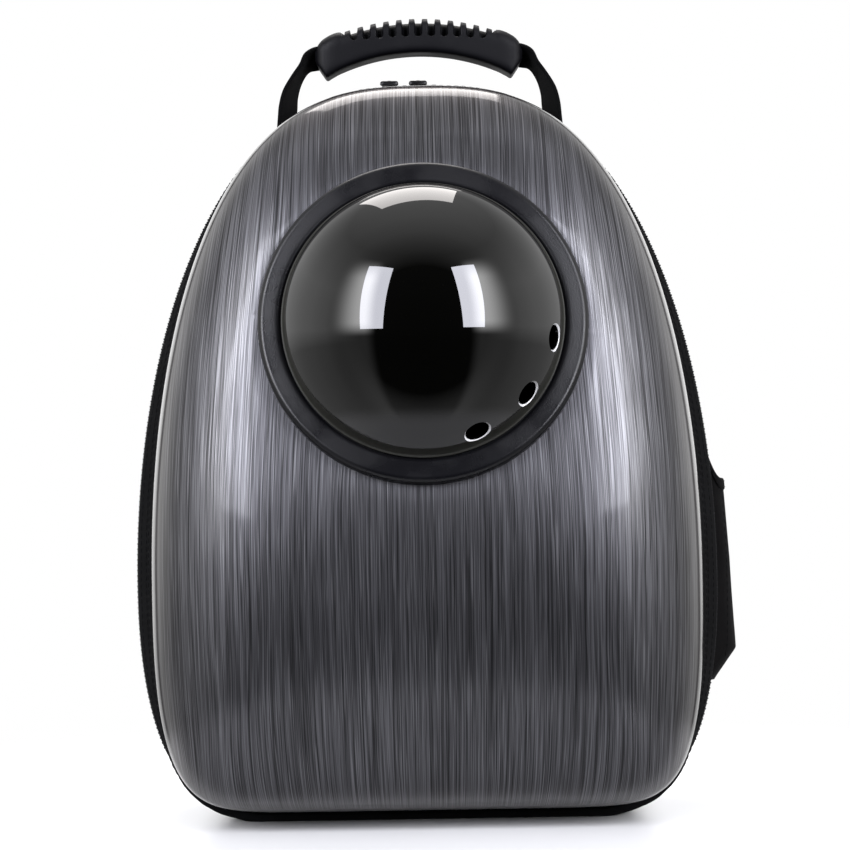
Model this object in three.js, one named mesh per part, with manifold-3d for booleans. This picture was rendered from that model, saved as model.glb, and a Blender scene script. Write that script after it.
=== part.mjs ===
// Pet carrier backpack: a hard domed front shell with a twist-in bubble window, zipped to a soft rear body
// that carries a moulded grab handle, a side pocket and two padded shoulder straps.
// Millimetres, +Z up, the front faces -Y, and the origin is the middle of the flat base.
import * as THREE from "three";
import { mergeVertices } from "three/addons/utils/BufferGeometryUtils.js";
import Module from "manifold-3d";

const wasm = await Module();
wasm.setup();

// Driving dimensions. Depths are measured forwards from the plane of the zip.
const BASE_MIDDLE = 26; // how far the base's middle lies behind the zip
const CLEARANCE = 0.3; // between pieces that touch
const OUTLINE_POINTS = 66;

// Two half superellipses that meet at the widest height. Exponents are for the z and x terms.
const ZIP_OUTLINE = {
  halfWidth: 164, widestZ: 133, topZ: 413, bottomZ: -2,
  upper: { z: 2.0, x: 2.55 }, lower: { z: 2.2, x: 6.3 },
};
const SHELL_OUTLINE = {
  halfWidth: 152.7, widestZ: 133, topZ: 410.5, bottomZ: 7.5,
  upper: { z: 2.1, x: 2.8 }, lower: { z: 2.7, x: 9.8 },
};

const SHELL = {
  wall: 2, rimDepth: 22, frontDepth: 122, roundness: 3.5, rows: 10,
  leanStartZ: 143, leanRate: 0.0008, // above leanStartZ the front falls back with the square of the height
};
const SEAT = { z: 275.2, depth: 101, tiltDeg: 13, holeRadius: 75, rimRadius: 89.5, swellRadius: 150 };
const LUGS = { count: 4, firstDeg: 45, spanDeg: 18, turnDeg: 30, radius: 79, thickness: 3, root: 2, play: 0.8 };
const NOTCHES = { play: 0.6, playDeg: 2, inset: 4, behind: 12, before: 6 };
const RING = {
  outerRadius: 88.5, boreRadius: 76, ledgeRadius: 70.5, ledgeHeight: 8.5, height: 10, neckPlay: 0.5, sides: 40,
};
// The ring's rounded outside, from the seat up to its top.
const RING_EDGE = [
  { inset: 0, height: 3 },
  { inset: 1.6, height: 7 },
  { inset: 6, height: RING.height },
];
const DOME = {
  sphereRadius: 78, wall: 2.5, rimRadius: 75.3, rimHeight: 12, flangeRadius: 75.7, flangeWall: 3.3,
  sides: 30, rings: 6,
};
const VENTS = { count: 3, radius: 7, polarDeg: 66, firstDeg: -12, stepDeg: -27.5, sides: 12 };

// Shares run from 0 at the shell's outline to 1 at the zip's. Below lowTop the seam falls to the floor.
const SEAM = { lowTop: 55, lowBottom: 15 };
const BINDING = { back: 14, wall: 4, swell: 0.8, backShare: 0.45 };
const TAPE = { back: 3.3, wall: 1.6, frontShare: 0.4 };
const ZIP = { halfWidth: 3, wall: 2.2, proud: 0.5, endHeight: 22, endGap: 0.02 };
const REAR = {
  front: -3.3, depth: 112, wall: 5, boxiness: 6, draft: 0.03, centreZ: 195, sink: 4, sinkHeight: 10,
  rowAngles: [0, 0.1, 0.3, 0.6, 0.9, 1.2, 1.45], // from the zip to the flat of the back, in radians
  panelRow: 3, // the row where the back panel is sewn to the sides
};

const GRIP = {
  middleZ: 434.3, lowerRadius: 114, crestZ: 452.8, crestRadius: 136, halfDepth: 15, depth: -25,
  ribs: 12, ribPitch: 7.4, ribWidth: 2.8, ribRise: 2.7, ribFoot: 3, ribBevel: 4.5, ribInset: 0.4,
  wallHeight: 10.7, coreInset: 2.4, flatShare: 0.7, bevel: 4, step: 0.4,
};
const HANDLE_WEB = { width: 25, thickness: 2 };
const SLIDER = { width: 11, xs: { left: -17, right: -0.7 } };
const POCKET = {
  wall: 1.8, front: -8, back: -90, gusset: 7, bow: 2, innerX: 140,
  hemTop: 188, hemHeight: 7, hemWall: 3, hemProud: 0.8,
};
const STRAP = { width: 58, thickness: 10, lean: 0.2 };
const STRAP_WEB = { width: 25, thickness: 2 };
const BAND_CHAMFER = 4;
const ADJUSTER = { width: 34, thickness: 5, bar: 4, slot: 5, gap: 0.8 };

const MATERIALS = {
  shell: { color: 0x55565a, roughness: 0.28, metalness: 0.6 },
  moulding: { color: 0x202126, roughness: 0.6, metalness: 0 },
  bubble: { color: 0x0b0a0a, roughness: 0.05, metalness: 0, transparent: true, opacity: 0.85 },
  fabric: { color: 0x161618, roughness: 0.9, metalness: 0 },
  webbing: { color: 0x141416, roughness: 0.85, metalness: 0 },
  zip: { color: 0x101012, roughness: 0.5, metalness: 0 },
};

const radians = THREE.MathUtils.degToRad;
const clamp = THREE.MathUtils.clamp;
const lerp = THREE.MathUtils.lerp;
const place = (x, depth, z) => new THREE.Vector3(x, -depth, z);
const carrier = new THREE.Group();
carrier.position.y = -BASE_MIDDLE;

function add(name, geometry, finish, parent = carrier) {
  const mesh = new THREE.Mesh(geometry, new THREE.MeshStandardMaterial(MATERIALS[finish]));
  mesh.name = name;
  parent.add(mesh);
}

// Solids

function toSolid(geometry) {
  const bare = geometry.clone();
  bare.deleteAttribute("normal");
  bare.deleteAttribute("uv");
  const merged = mergeVertices(bare, 1e-4);
  const vertProperties = merged.attributes.position.array;
  const triVerts = new Uint32Array(merged.index.array);
  return new wasm.Manifold(new wasm.Mesh({ numProp: 3, vertProperties, triVerts }));
}

function toGeometry(solid) {
  const mesh = solid.getMesh();
  const geometry = new THREE.BufferGeometry();
  geometry.setAttribute("position", new THREE.BufferAttribute(new Float32Array(mesh.vertProperties), 3));
  geometry.setIndex(new THREE.BufferAttribute(new Uint32Array(mesh.triVerts), 1));
  geometry.computeVertexNormals();
  return geometry;
}

// A closed skin through loops of equal length. A ring of loops closes on itself, others get end caps.
function loft(loops, ring = false) {
  const count = loops[0].length;
  const positions = loops.flat().flatMap((p) => [p.x, p.y, p.z]);
  const faces = [];
  const spans = ring ? loops.length : loops.length - 1;
  for (let row = 0; row < spans; row++) {
    const next = (row + 1) % loops.length;
    for (let i = 0; i < count; i++) {
      const j = (i + 1) % count;
      const [a, b, c, d] = [row * count + i, row * count + j, next * count + j, next * count + i];
      faces.push(a, b, c, a, c, d);
    }
  }
  if (!ring) {
    const lastStart = (loops.length - 1) * count;
    for (const [loop, start, flip] of [[loops[0], 0, true], [loops.at(-1), lastStart, false]]) {
      const middle = loop.reduce((sum, p) => sum.add(p), new THREE.Vector3()).divideScalar(count);
      const hub = positions.length / 3;
      positions.push(middle.x, middle.y, middle.z);
      for (let i = 0; i < count; i++) {
        const j = (i + 1) % count;
        faces.push(...(flip ? [hub, start + j, start + i] : [hub, start + i, start + j]));
      }
    }
  }
  const geometry = new THREE.BufferGeometry();
  geometry.setAttribute("position", new THREE.Float32BufferAttribute(positions, 3));
  geometry.setIndex(faces);
  return facingOut(geometry);
}

// Turns the faces round where they enclose a negative volume.
function facingOut(geometry) {
  const p = geometry.attributes.position;
  const index = Array.from(geometry.index.array);
  const [a, b, c] = [new THREE.Vector3(), new THREE.Vector3(), new THREE.Vector3()];
  let volume = 0;
  for (let i = 0; i < index.length; i += 3) {
    a.fromBufferAttribute(p, index[i]);
    b.fromBufferAttribute(p, index[i + 1]);
    c.fromBufferAttribute(p, index[i + 2]);
    volume += a.dot(b.cross(c));
  }
  if (volume < 0) {
    for (let i = 0; i < index.length; i += 3) [index[i + 1], index[i + 2]] = [index[i + 2], index[i + 1]];
    geometry.setIndex(index);
  }
  geometry.computeVertexNormals();
  return geometry;
}

// Outlines, as points (x, z) from the middle of the bottom round by +X

function outlinePoints(outline, count) {
  const fine = 600;
  const side = [];
  for (let i = 0; i <= 2 * fine; i++) {
    const lower = i <= fine;
    const angle = (lower ? 1 - i / fine : i / fine - 1) * (Math.PI / 2);
    const powers = lower ? outline.lower : outline.upper;
    const reach = (lower ? outline.bottomZ : outline.topZ) - outline.widestZ;
    const x = outline.halfWidth * Math.max(Math.cos(angle), 0) ** (2 / powers.x);
    const z = outline.widestZ + reach * Math.sin(angle) ** (2 / powers.z);
    side.push(new THREE.Vector2(x, Math.max(z, 0)));
  }
  const lengths = [0];
  for (let i = 1; i < side.length; i++) lengths.push(lengths[i - 1] + side[i].distanceTo(side[i - 1]));
  const half = [];
  for (let k = 0, i = 1; k <= count / 2; k++) {
    const target = (lengths.at(-1) * k) / (count / 2);
    while (i < side.length - 1 && lengths[i] < target) i++;
    const share = (target - lengths[i - 1]) / (lengths[i] - lengths[i - 1]);
    half.push(side[i - 1].clone().lerp(side[i], clamp(share, 0, 1)));
  }
  const mirrored = half.slice(1, -1).reverse().map((p) => new THREE.Vector2(-p.x, p.y));
  return [...half, ...mirrored];
}

function outwards(points) {
  return points.map((_, i) => {
    const before = points.at(i - 1);
    const after = points[(i + 1) % points.length];
    return new THREE.Vector2(after.y - before.y, before.x - after.x).normalize();
  });
}

const zipOutline = outlinePoints(ZIP_OUTLINE, OUTLINE_POINTS);
const shellOutline = outlinePoints(SHELL_OUTLINE, OUTLINE_POINTS);
const zipOut = outwards(zipOutline);

// A loop between the shell's edge and the zip.
function bandLoop(share, offset, depth) {
  return shellOutline.map((edge, i) => {
    const low = clamp((SEAM.lowTop - edge.y) / (SEAM.lowTop - SEAM.lowBottom), 0, 1);
    const p = edge.clone().lerp(zipOutline[i], lerp(share, 1, low)).addScaledVector(zipOut[i], offset);
    return place(p.x, depth, Math.max(p.y, 0));
  });
}

// Front shell

const seatTilt = radians(SEAT.tiltDeg);
const seatNormal = new THREE.Vector3(0, -Math.cos(seatTilt), Math.sin(seatTilt));

// How far forwards the face lies at a height, before its edges are rounded.
function faceDepth(z) {
  const above = Math.max(z - SHELL.leanStartZ, 0);
  return SHELL.frontDepth - SHELL.leanRate * above * above;
}

// Places along a line from the window's middle to a point of the shell's edge. Reach is 0 at the middle and
// 1 at the edge, and radii are measured in the plane of the seat.
const heightAt = (edge, reach) => lerp(SEAT.z, edge.y, reach);
const edgeRadius = (edge) => Math.hypot(edge.x, (edge.y - SEAT.z) / Math.cos(seatTilt));
const seatDepth = (z) => SEAT.depth - Math.tan(seatTilt) * (z - SEAT.z);

function domedDepth(edge, reach) {
  const rise = Math.max(1 - reach ** SHELL.roundness, 0) ** (1 / SHELL.roundness);
  return SHELL.rimDepth + (faceDepth(heightAt(edge, reach)) - SHELL.rimDepth) * rise;
}

// The seat is a flat cut across the dome, which swells a little to meet the seat's round rim.
function shellPoint(edge, reach) {
  const z = heightAt(edge, reach);
  const [rim, swellEnd] = [SEAT.rimRadius, SEAT.swellRadius].map((radius) => radius / edgeRadius(edge));
  if (reach <= rim) return place(edge.x * reach, seatDepth(z), z);
  const swell = seatDepth(heightAt(edge, rim)) - domedDepth(edge, rim);
  const faded = THREE.MathUtils.smoothstep(reach, rim, Math.min(swellEnd, 1));
  return place(edge.x * reach, domedDepth(edge, reach) + swell * (1 - faded), z);
}

// Shares run from 0 at the edge to 1 at the seat's rim, at even angles round the dome's section.
function domeReach(edge, share) {
  const rimAngle = Math.acos((SEAT.rimRadius / edgeRadius(edge)) ** (SHELL.roundness / 2));
  return Math.cos(rimAngle * share) ** (2 / SHELL.roundness);
}

function gridNormals(rows) {
  return rows.map((row, r) => row.map((_, i) => {
    const along = row[(i + 1) % row.length].clone().sub(row.at(i - 1));
    const across = rows[Math.min(r + 1, rows.length - 1)][i].clone().sub(rows[Math.max(r - 1, 0)][i]);
    return along.cross(across).normalize();
  }));
}

function frontShell() {
  const outer = [];
  for (let row = 0; row < SHELL.rows; row++) {
    const share = row / (SHELL.rows - 1);
    outer.push(shellOutline.map((edge) => shellPoint(edge, domeReach(edge, share))));
  }
  outer.push(shellOutline.map((edge) => shellPoint(edge, SEAT.holeRadius / edgeRadius(edge))));
  const normals = gridNormals(outer);
  const inner = outer.map((row, r) => row.map((p, i) => {
    const normal = normals[r][i];
    if (r === 0) normal.setY(0).normalize();
    if (r === SHELL.rows) normal.copy(seatNormal);
    return p.clone().addScaledVector(normal, -SHELL.wall);
  }));
  return toSolid(loft([...outer, ...inner.reverse()], true));
}

// Window, in its seat's frame: z along the seat's normal, x to the right, y up the shell

const seatFrame = new THREE.Group();
seatFrame.position.copy(place(0, SEAT.depth, SEAT.z));
seatFrame.rotation.x = Math.PI / 2 - seatTilt;
seatFrame.updateMatrix();

// A solid of revolution about z from a closed profile of (radius, height) points.
function turned(profile, sides) {
  const points = profile.map(([radius, height]) => new THREE.Vector2(radius, height));
  return facingOut(new THREE.LatheGeometry(points, sides).rotateX(Math.PI / 2));
}

// A slab over a sector of a ring.
function sector({ inner, outer, low, high, middleDeg, spanDeg }) {
  const [start, end] = [radians(middleDeg - spanDeg / 2), radians(middleDeg + spanDeg / 2)];
  const shape = new THREE.Shape();
  shape.absarc(0, 0, outer, start, end, false);
  shape.absarc(0, 0, inner, end, start, true);
  const options = { depth: high - low, bevelEnabled: false, curveSegments: 3 };
  return toSolid(new THREE.ExtrudeGeometry(shape, options).translate(0, 0, low));
}

const lugAngles = Array.from({ length: LUGS.count }, (_, i) => LUGS.firstDeg + (360 * i) / LUGS.count);

// The hole has a notch for each lug, away from the lug's locked place by the turn that frees it.
function notchedShell() {
  const { play, playDeg, inset, behind, before } = NOTCHES;
  const reach = { inner: SEAT.holeRadius - inset, outer: LUGS.radius + play, low: -behind, high: before };
  return lugAngles.reduce((shell, angle) => {
    const span = { middleDeg: angle + LUGS.turnDeg, spanDeg: LUGS.spanDeg + 2 * playDeg };
    return shell.subtract(sector({ ...reach, ...span }).transform(seatFrame.matrix.elements));
  }, frontShell());
}

function windowRing() {
  const neck = SEAT.holeRadius - RING.neckPlay;
  const back = -SHELL.wall - LUGS.play - LUGS.thickness;
  const profile = [
    [RING.ledgeRadius, back], [neck, back], [neck, CLEARANCE], [RING.outerRadius, CLEARANCE],
    ...RING_EDGE.map(({ inset, height }) => [RING.outerRadius - inset, height]), [RING.boreRadius, RING.height],
    [RING.boreRadius, RING.ledgeHeight], [RING.ledgeRadius, RING.ledgeHeight], [RING.ledgeRadius, back],
  ];
  const lug = { inner: neck - LUGS.root, outer: LUGS.radius, low: back, high: back + LUGS.thickness };
  return lugAngles.reduce(
    (ring, middleDeg) => ring.add(sector({ ...lug, middleDeg, spanDeg: LUGS.spanDeg })),
    toSolid(turned(profile, RING.sides)),
  );
}

function bubbleDome() {
  const middle = DOME.rimHeight - Math.sqrt(DOME.sphereRadius ** 2 - DOME.rimRadius ** 2);
  const arc = (radius, lowest) => Array.from({ length: DOME.rings + 1 }, (_, i) => {
    const polar = (Math.acos((lowest - middle) / radius) * i) / DOME.rings;
    return [radius * Math.sin(polar), middle + radius * Math.cos(polar)];
  });
  const foot = RING.ledgeHeight + CLEARANCE;
  const inside = DOME.flangeRadius - DOME.flangeWall;
  const profile = [
    ...arc(DOME.sphereRadius, DOME.rimHeight), [DOME.flangeRadius, DOME.rimHeight - CLEARANCE],
    [DOME.flangeRadius, foot], [inside, foot],
    ...arc(DOME.sphereRadius - DOME.wall, DOME.rimHeight).reverse(),
  ];
  let dome = toSolid(turned(profile, DOME.sides));
  for (let i = 0; i < VENTS.count; i++) {
    const drill = new THREE.CylinderGeometry(VENTS.radius, VENTS.radius, DOME.rimRadius / 2, VENTS.sides);
    drill.translate(0, DOME.sphereRadius, 0).rotateZ(-radians(VENTS.polarDeg)).rotateX(Math.PI / 2);
    drill.rotateZ(radians(VENTS.firstDeg + i * VENTS.stepDeg)).translate(0, 0, middle);
    dome = dome.subtract(toSolid(drill));
  }
  return dome;
}

// Seam between the shell and the rear body

function rimBinding() {
  const front = SHELL.rimDepth - CLEARANCE;
  const { back, wall, swell, backShare } = BINDING;
  const round = (front - back) / 4;
  return loft([
    bandLoop(0, -swell, front), bandLoop(backShare / 4, swell, front - round),
    bandLoop(backShare, swell, back + round), bandLoop(backShare, 0, back),
    bandLoop(backShare, -wall, back), bandLoop(0, -wall, front),
  ], true);
}

function zipTape() {
  const front = BINDING.back - CLEARANCE;
  const { back, wall, frontShare } = TAPE;
  return loft([
    bandLoop(frontShare, 0, front), bandLoop(1, 0, back),
    bandLoop(1, -wall, back), bandLoop(frontShare, -wall, front),
  ], true);
}

// The value of a list that runs round the outline, at a place between two of its points.
function between(list, at) {
  const [low, high] = [0, 1].map((step) => (Math.floor(at) + step + OUTLINE_POINTS) % OUTLINE_POINTS);
  return list[low].clone().lerp(list[high], at - Math.floor(at));
}

// A strip along the zip's outline between two places, counted in outline points.
function seamStrip(from, to, proud) {
  const places = [from];
  for (let i = Math.floor(from) + 1; i < to; i++) places.push(i);
  places.push(to);
  const { halfWidth, wall } = ZIP;
  const corners = [[proud, halfWidth], [proud, -halfWidth], [-wall, -halfWidth], [-wall, halfWidth]];
  return loft(places.map((at) => corners.map(([offset, depth]) => {
    const p = between(zipOutline, at).addScaledVector(between(zipOut, at), offset);
    return place(p.x, depth, Math.max(p.y, 0));
  })));
}

// Rear body

// Loops of the body's outside, moved out by an offset. The lowest points sink, which leaves a flat base.
function rearRows(offset) {
  const rows = REAR.rowAngles.map((angle) => {
    const share = Math.sin(angle) ** (2 / REAR.boxiness);
    const reach = Math.cos(angle) ** (2 / REAR.boxiness) * (1 - REAR.draft * share);
    const depth = REAR.front - REAR.depth * share;
    return zipOutline.map((p) => {
      const sunk = p.y - REAR.sink * clamp(1 - p.y / REAR.sinkHeight, 0, 1);
      return place(p.x * reach, depth, Math.max(REAR.centreZ + (sunk - REAR.centreZ) * reach, 0));
    });
  });
  const inwards = gridNormals(rows);
  inwards[0].forEach((normal) => normal.setY(0).normalize());
  return rows.map((row, r) => row.map((p, i) => p.clone().addScaledVector(inwards[r][i], -offset)));
}

function rearBody() {
  const [inside, outside] = [-REAR.wall, 0].map((offset) => rearRows(offset).slice(0, REAR.panelRow + 1));
  return loft([...outside, ...inside.reverse()], true);
}

function backPanel() {
  const [inside, outside] = [-REAR.wall, 0].map((offset) => rearRows(offset).slice(REAR.panelRow));
  for (const seam of [inside[0], outside[0]]) seam.forEach((p) => p.setY(p.y + CLEARANCE));
  return loft([...inside.reverse(), ...outside]);
}

// The room that the whole rear half takes up, with clearance. Pieces sewn to it are cut to fit against it.
const rearRoom = toSolid(loft(rearRows(CLEARANCE)));
const sewnOn = (geometry) => toGeometry(toSolid(geometry).subtract(rearRoom));

// Grab handle

// A loop across the grip from one side's outline, as (depth, z) points from the underside to the top.
function gripLoop(x, side) {
  const points = [...side, ...side.map(([depth, z]) => [-depth, z]).reverse()];
  return points.map(([depth, z]) => place(x, GRIP.depth + depth, z));
}

function gripSection({ x, low, wallTop, top, half, core }) {
  const { flatShare, bevel, step } = GRIP;
  const side = [[flatShare * half, low], [half, low + bevel], [half, wallTop], [core, wallTop + step]];
  return gripLoop(x, [...side, [flatShare * core, top]]);
}

const gripLow = (x) => GRIP.middleZ - GRIP.lowerRadius + Math.sqrt(GRIP.lowerRadius ** 2 - x * x);
const gripCrest = (x) => GRIP.crestZ - GRIP.crestRadius + Math.sqrt(GRIP.crestRadius ** 2 - x * x);

function gripCore(x) {
  const low = gripLow(x);
  const top = gripCrest(x) - GRIP.ribRise;
  const core = GRIP.halfDepth - GRIP.coreInset;
  return gripSection({ x, low, wallTop: low + GRIP.wallHeight, top, half: GRIP.halfDepth, core });
}

function gripRib(x) {
  const [low, top, half] = [gripLow(x) + GRIP.ribFoot, gripCrest(x), GRIP.halfDepth - GRIP.ribInset];
  return gripLoop(x, [[half, low], [half, top - GRIP.ribBevel], [GRIP.flatShare * half, top]]);
}

// The solid shoulders beyond the ribs, from the recess to the ends.
const SHOULDERS = [
  { x: 45.3, low: 424.7, wallTop: 439.4, top: 447.0, half: 15, core: 14.2 },
  { x: 48.6, low: 423.1, wallTop: 438.6, top: 446.8, half: 15, core: 14.2 },
  { x: 52.4, low: 421.0, wallTop: 437.0, top: 444.8, half: 14.4, core: 13.6 },
  { x: 57.2, low: 424.0, wallTop: 435.6, top: 441.2, half: 13, core: 12.2 },
  { x: 59.7, low: 427.4, wallTop: 434.5, top: 438.0, half: 10.5, core: 9.7 },
];

function handleGrip() {
  const shoulder = (row, side) => gripSection({ ...row, x: side * row.x });
  const recess = SHOULDERS[0].x - GRIP.ribWidth;
  const steps = Array.from({ length: 9 }, (_, i) => gripCore(recess * (i / 4 - 1)));
  const left = SHOULDERS.map((row) => shoulder(row, -1)).reverse();
  const body = loft([...left, ...steps, ...SHOULDERS.map((row) => shoulder(row, 1))]);
  let grip = toSolid(body);
  for (let i = 0; i < GRIP.ribs; i++) {
    const x = (i - (GRIP.ribs - 1) / 2) * GRIP.ribPitch;
    grip = grip.add(toSolid(loft([gripRib(x - GRIP.ribWidth / 2), gripRib(x + GRIP.ribWidth / 2)])));
  }
  return toGeometry(grip);
}

// Flat bands: a section carried along a path. Each path row gives the middle and the width's direction.

function band(rows, { width, thickness }) {
  const [half, edge] = [width / 2, thickness / 2];
  const chamfer = Math.min(BAND_CHAMFER, edge);
  const section = [
    [-half, edge - chamfer / 2], [-half + chamfer, edge], [half - chamfer, edge], [half, edge - chamfer / 2],
    [half, chamfer / 2 - edge], [half - chamfer, -edge], [-half + chamfer, -edge], [-half, chamfer / 2 - edge],
  ];
  return loft(rows.map(({ middle, across }, i) => {
    const along = rows[Math.min(i + 1, rows.length - 1)].middle.clone().sub(rows[Math.max(i - 1, 0)].middle);
    const out = along.clone().cross(across).normalize();
    const wide = out.clone().cross(along).normalize();
    return section.map(([w, t]) => middle.clone().addScaledVector(wide, w).addScaledVector(out, t));
  }));
}

// The handle's right leg from the grip down to the body. Turn is the width's angle away from the depth.
const HANDLE_LEG = [
  { x: 54.0, z: 433.4, turn: 24 },
  { x: 58.8, z: 432.6, turn: 24 },
  { x: 62.6, z: 430.8, turn: 20 },
  { x: 66.2, z: 427.2, turn: 12 },
  { x: 70.6, z: 420.6, turn: 14 },
  { x: 74.2, z: 412.4, turn: 18 },
  { x: 75.6, z: 404.6, turn: 20 },
  { x: 76.4, z: 397.0, turn: 20 },
  { x: 77.2, z: 388.0, turn: 20 },
];

function handleWeb(side) {
  const rows = HANDLE_LEG.map(({ x, z, turn }, i) => {
    const [above, below] = [HANDLE_LEG[Math.max(i - 1, 0)], HANDLE_LEG[i + 1] ?? HANDLE_LEG[i]];
    const sideways = new THREE.Vector3(side * (above.z - below.z), 0, below.x - above.x).normalize();
    const angle = radians(turn);
    const across = sideways.multiplyScalar(Math.sin(angle)).setY(-Math.cos(angle));
    return { middle: place(side * x, GRIP.depth, z), across };
  });
  const web = toSolid(band(rows, HANDLE_WEB));
  const gripEnd = SHOULDERS.at(-1).x + CLEARANCE;
  const room = 4 * HANDLE_WEB.width;
  const gripRoom = new THREE.BoxGeometry(2 * gripEnd, room, room).translate(0, -GRIP.depth, GRIP.middleZ);
  return toGeometry(web.subtract(rearRoom).subtract(toSolid(gripRoom)));
}

// A zip slider with its tab lying back over the body, as a side profile of (depth, height) points.
const SLIDER_PROFILE = [
  [4.5, 0], [4.5, 1.6], [2.8, 2.6], [-2.6, 2.6], [-6, 2.9], [-26, 2.6], [-26, 1.2], [-6, 1.4], [-4.5, 0],
];

function zipSlider(x) {
  const shape = new THREE.Shape(SLIDER_PROFILE.map(([depth, z]) => new THREE.Vector2(-depth, z)));
  const slider = new THREE.ExtrudeGeometry(shape, { depth: SLIDER.width, bevelEnabled: false });
  slider.translate(0, 0, -SLIDER.width / 2).rotateX(Math.PI / 2).rotateZ(Math.PI / 2);
  return slider.translate(x, 0, ZIP_OUTLINE.topZ + ZIP.proud + CLEARANCE);
}

// Side pocket on the right: sections of its outer panel from the top down to where it meets the body

const POCKET_PANEL = [
  { z: 188, x: 169.3 },
  { z: 142, x: 173.3 },
  { z: 91, x: 175.8 },
  { z: 73, x: 163 },
];

function panelX(z) {
  const below = clamp(POCKET_PANEL.findIndex((row) => row.z <= z), 1, POCKET_PANEL.length - 1);
  const [upper, lower] = [POCKET_PANEL[below - 1], POCKET_PANEL[below]];
  return lerp(lower.x, upper.x, (z - lower.z) / (upper.z - lower.z));
}

// The pocket's filled form between heights, taken in by an inset.
function pocketForm(heights, inset) {
  const { front, back, gusset, bow, innerX } = POCKET;
  return toSolid(loft(heights.map((z) => {
    const [near, far, outer] = [front - inset, back + inset, panelX(z) - inset];
    const points = [
      [innerX, near], [outer - gusset, near], [outer, near - gusset], [outer + bow, (near + far) / 2],
      [outer, far + gusset], [outer - gusset, far], [innerX, far],
    ];
    return points.map(([x, depth]) => place(x, depth, z));
  })));
}

function sidePocket() {
  const { wall, hemTop, hemHeight } = POCKET;
  const levels = POCKET_PANEL.slice(1).map((row) => row.z);
  const outside = pocketForm([hemTop - hemHeight - CLEARANCE, ...levels], 0);
  const inside = pocketForm([hemTop, ...levels.map((z) => z + wall)], wall);
  return toGeometry(outside.subtract(inside).subtract(rearRoom));
}

function pocketHem() {
  const { hemTop, hemHeight, hemWall, hemProud } = POCKET;
  const hem = pocketForm([hemTop, hemTop - hemHeight], -hemProud);
  const inside = pocketForm([hemTop + 1, hemTop - hemHeight - 1], hemWall - hemProud);
  return toGeometry(hem.subtract(inside).subtract(rearRoom));
}

// Strap hardware and the two shoulder straps

const BACK = REAR.front - REAR.depth;
const STRAP_PATH = [
  { x: 42, z: 380, lift: -12 },
  { x: 45, z: 368, lift: 2 },
  { x: 50, z: 350, lift: 18 },
  { x: 58, z: 318, lift: 34 },
  { x: 68, z: 278, lift: 45 },
  { x: 78, z: 234, lift: 49 },
  { x: 86, z: 190, lift: 45 },
  { x: 92, z: 152, lift: 36 },
  { x: 95, z: 128, lift: 29 },
];
const WEB_PATH = [
  { x: 97.6, z: 102.5, lift: 21 },
  { x: 101, z: 82, lift: 13 },
  { x: 105, z: 64, lift: 3 },
  { x: 108, z: 50, lift: -8 },
  { x: 109, z: 42, lift: -18 },
];

function pathRows(path, side) {
  const across = new THREE.Vector3(1, 0, side * STRAP.lean);
  return path.map(({ x, z, lift }) => ({ middle: place(side * x, BACK - lift, z), across }));
}

// A flat frame with two slots, standing between the strap's end and its webbing.
function strapAdjuster(side) {
  const { width, thickness, bar, slot, gap } = ADJUSTER;
  const [top, bottom] = [pathRows(STRAP_PATH, side).at(-1), pathRows(WEB_PATH, side)[0]];
  const up = top.middle.clone().sub(bottom.middle);
  const height = up.length() - 2 * gap;
  const rectangle = (outline, [w, h], y) => {
    const corners = [[-w, -h], [w, -h], [w, h], [-w, h]];
    return outline.setFromPoints(corners.map(([cx, cy]) => new THREE.Vector2(cx / 2, y + cy / 2)));
  };
  const frame = rectangle(new THREE.Shape(), [width, height], 0);
  const offset = (bar + slot) / 2;
  frame.holes = [-offset, offset].map((y) => rectangle(new THREE.Path(), [width - 2 * bar, slot], y));
  const adjuster = new THREE.ExtrudeGeometry(frame, { depth: thickness, bevelEnabled: false });
  adjuster.translate(0, 0, -thickness / 2);
  up.normalize();
  const out = top.across.clone().cross(up).normalize();
  const turn = new THREE.Matrix4().makeBasis(up.clone().cross(out), up, out);
  return adjuster.applyMatrix4(turn.setPosition(top.middle.clone().lerp(bottom.middle, 0.5)));
}

// The assembly

add("front_shell", toGeometry(notchedShell()), "shell");
const bubbleWindow = new THREE.Group();
bubbleWindow.position.copy(seatFrame.position);
bubbleWindow.quaternion.copy(seatFrame.quaternion);
carrier.add(bubbleWindow);
add("window_ring", toGeometry(windowRing()), "moulding", bubbleWindow);
add("bubble_dome", toGeometry(bubbleDome()), "bubble", bubbleWindow);

add("rim_binding", rimBinding(), "fabric");
add("zip_tape", zipTape(), "fabric");
const zipEnd = zipOutline.findIndex((p) => p.y > ZIP.endHeight) + 0.5;
add("zip_chain", seamStrip(zipEnd, OUTLINE_POINTS - zipEnd, ZIP.proud), "zip");
add("hinge_strip", seamStrip(ZIP.endGap - zipEnd, zipEnd - ZIP.endGap, 0), "fabric");
add("rear_body", rearBody(), "fabric");
add("back_panel", backPanel(), "fabric");

add("handle_grip", handleGrip(), "moulding");
for (const [side, sign] of [["left", -1], ["right", 1]]) {
  add(`handle_web_${side}`, handleWeb(sign), "webbing");
  add(`zip_slider_${side}`, zipSlider(SLIDER.xs[side]), "zip");
  add(`shoulder_strap_${side}`, sewnOn(band(pathRows(STRAP_PATH, sign), STRAP)), "fabric");
  add(`strap_web_${side}`, sewnOn(band(pathRows(WEB_PATH, sign), STRAP_WEB)), "webbing");
  add(`strap_adjuster_${side}`, strapAdjuster(sign), "moulding");
}

add("side_pocket", sidePocket(), "fabric");
add("pocket_hem", pocketHem(), "fabric");

export default carrier;
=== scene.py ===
"""Looks of a pet carrier backpack: a glossy brushed shell with a bubble window, zipped to a soft rear body.

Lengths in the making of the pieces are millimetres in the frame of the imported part, and become metres
when a piece is finished. Depth is measured forwards from the plane of the zip.
"""
import math

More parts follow.
